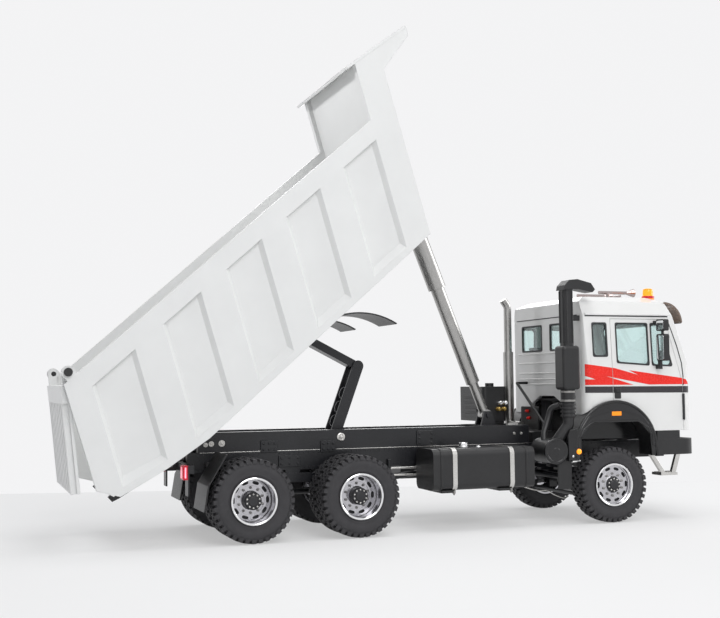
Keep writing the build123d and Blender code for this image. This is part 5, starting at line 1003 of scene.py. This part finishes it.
# Camera: it looks at the truck's right side from a little behind
YAW, PITCH, ROLL = math.radians(19.933), math.radians(3.762), math.radians(-0.565)
CAMERA_PLACE, SENSOR_WIDTH, FOCAL_LENGTH = (-275.42, -1154.055, 156.236), 36.0, 55.83
forward = Vector((math.sin(YAW) * math.cos(PITCH), math.cos(YAW) * math.cos(PITCH), math.sin(PITCH)))
level = Vector((math.cos(YAW), -math.sin(YAW), 0))
upright = level.cross(forward)
right = level * math.cos(ROLL) + upright * math.sin(ROLL)
up = upright * math.cos(ROLL) - level * math.sin(ROLL)
lens = bpy.data.cameras.new("camera")
lens.sensor_width = SENSOR_WIDTH
lens.lens = FOCAL_LENGTH
camera = bpy.data.objects.new("camera", lens)
rotation = Matrix((right, up, -forward)).transposed().to_4x4()
camera.matrix_world = Matrix.Translation(place(*CAMERA_PLACE)) @ rotation
scene.collection.objects.link(camera)
scene.camera = camera


# Studio: a pale floor that fades into a pale background, and soft lamps
def seen_rays(tree):
    # One for rays that the picture shows: straight, mirrored or through glass.
    rays = tree.nodes.new("ShaderNodeLightPath")
    seen = rays.outputs["Is Camera Ray"]
    for other in ("Is Glossy Ray", "Is Transmission Ray"):
        either = tree.nodes.new("ShaderNodeMath")
        either.operation = "MAXIMUM"
        link(tree, seen, either.inputs[0])
        link(tree, rays.outputs[other], either.inputs[1])
        seen = either.outputs["Value"]
    return seen


FLOOR_TONE, BACK_TONE = 0.82, 0.90
FLOOR_SHOWN, FLOOR_STEADY = 0.43, 0.42
FLOOR_REACH, FLOOR_DEPTH = 6, 8
SKY_STRENGTH = 0.33
floor_mesh = bpy.data.meshes.new("floor")
edge_left, edge_right = place(-212, 559, 0), place(829, 281, 0)
along = (edge_right - edge_left).normalized()
near = Vector((along.y, -along.x, 0))
corners = [edge_left - along * FLOOR_REACH, edge_right + along * FLOOR_REACH]
corners += [corners[1] + near * FLOOR_DEPTH, corners[0] + near * FLOOR_DEPTH]
floor_mesh.from_pydata([tuple(c) for c in corners], [], [(0, 1, 2, 3)])
floor = bpy.data.objects.new("floor", floor_mesh)
scene.collection.objects.link(floor)
floor_mat = bpy.data.materials.new("floor_sheet")
floor_mat.use_nodes = True
floor_tree = floor_mat.node_tree
floor_bsdf = floor_tree.nodes["Principled BSDF"]
floor_coords = floor_tree.nodes.new("ShaderNodeTexCoord").outputs["Object"]
floor_patches = ranged(floor_tree, noise(floor_tree, floor_coords, 2.0), 0, 1)
floor_colour = mixed(floor_tree, floor_patches, (FLOOR_TONE,) * 3, (FLOOR_TONE + 0.02,) * 3)
link(floor_tree, floor_colour, floor_bsdf.inputs["Base Color"])
floor_bsdf.inputs["Roughness"].default_value = 0.6
# What the picture shows of the floor: its shadow, softened by a steady part
shown = floor_tree.nodes.new("ShaderNodeBsdfDiffuse")
shown.inputs["Color"].default_value = (FLOOR_SHOWN, FLOOR_SHOWN, FLOOR_SHOWN, 1)
steady = floor_tree.nodes.new("ShaderNodeEmission")
steady.inputs["Color"].default_value = (FLOOR_STEADY, FLOOR_STEADY, FLOOR_STEADY, 1)
both = floor_tree.nodes.new("ShaderNodeAddShader")
link(floor_tree, shown.outputs["BSDF"], both.inputs[0])
link(floor_tree, steady.outputs["Emission"], both.inputs[1])
floor_choice = floor_tree.nodes.new("ShaderNodeMixShader")
link(floor_tree, seen_rays(floor_tree), floor_choice.inputs["Fac"])
link(floor_tree, floor_bsdf.outputs["BSDF"], floor_choice.inputs[1])
link(floor_tree, both.outputs["Shader"], floor_choice.inputs[2])
link(floor_tree, floor_choice.outputs["Shader"], floor_tree.nodes["Material Output"].inputs["Surface"])
floor_mesh.materials.append(floor_mat)

world = bpy.data.worlds.new("studio")
scene.world = world
world.use_nodes = True
tree = world.node_tree
sky = tree.nodes["Background"]
sky.inputs["Color"].default_value = (0.92, 0.94, 1.0, 1)
sky.inputs["Strength"].default_value = SKY_STRENGTH
backdrop = tree.nodes.new("ShaderNodeBackground")
backdrop.inputs["Color"].default_value = (BACK_TONE, BACK_TONE, BACK_TONE * 1.01, 1)
choose = tree.nodes.new("ShaderNodeMixShader")
link(tree, seen_rays(tree), choose.inputs["Fac"])
link(tree, sky.outputs["Background"], choose.inputs[1])
link(tree, backdrop.outputs["Background"], choose.inputs[2])
link(tree, choose.outputs["Shader"], tree.nodes["World Output"].inputs["Surface"])

REAR_SPREAD = math.radians(18)
LAMPS = [
    # name, place, aim, size in metres, watts
    ("key_lamp", (100, -1900, 1500), (180, 0, 200), 1.4, 22.0),
    ("top_lamp", (250, -100, 2600), (150, 0, 100), 2.2, 31.0),
    ("front_lamp", (1900, -300, 700), (300, 0, 150), 0.9, 9.0),
    ("left_lamp", (900, 1900, 900), (200, 0, 150), 1.2, 9.0),
    ("rear_lamp", (-1500, 0, 900), (130, 0, 520), 0.4, 0.27),
]
for name, at, aim, size, watts in LAMPS:
    light = bpy.data.lights.new(name, "AREA")
    light.shape = "DISK"
    light.size = size
    light.energy = watts
    light.spread = REAR_SPREAD if name == "rear_lamp" else math.pi
    lamp = bpy.data.objects.new(name, light)
    lamp.matrix_world = frame_at(place(*at), place(*at) - place(*aim))
    scene.collection.objects.link(lamp)
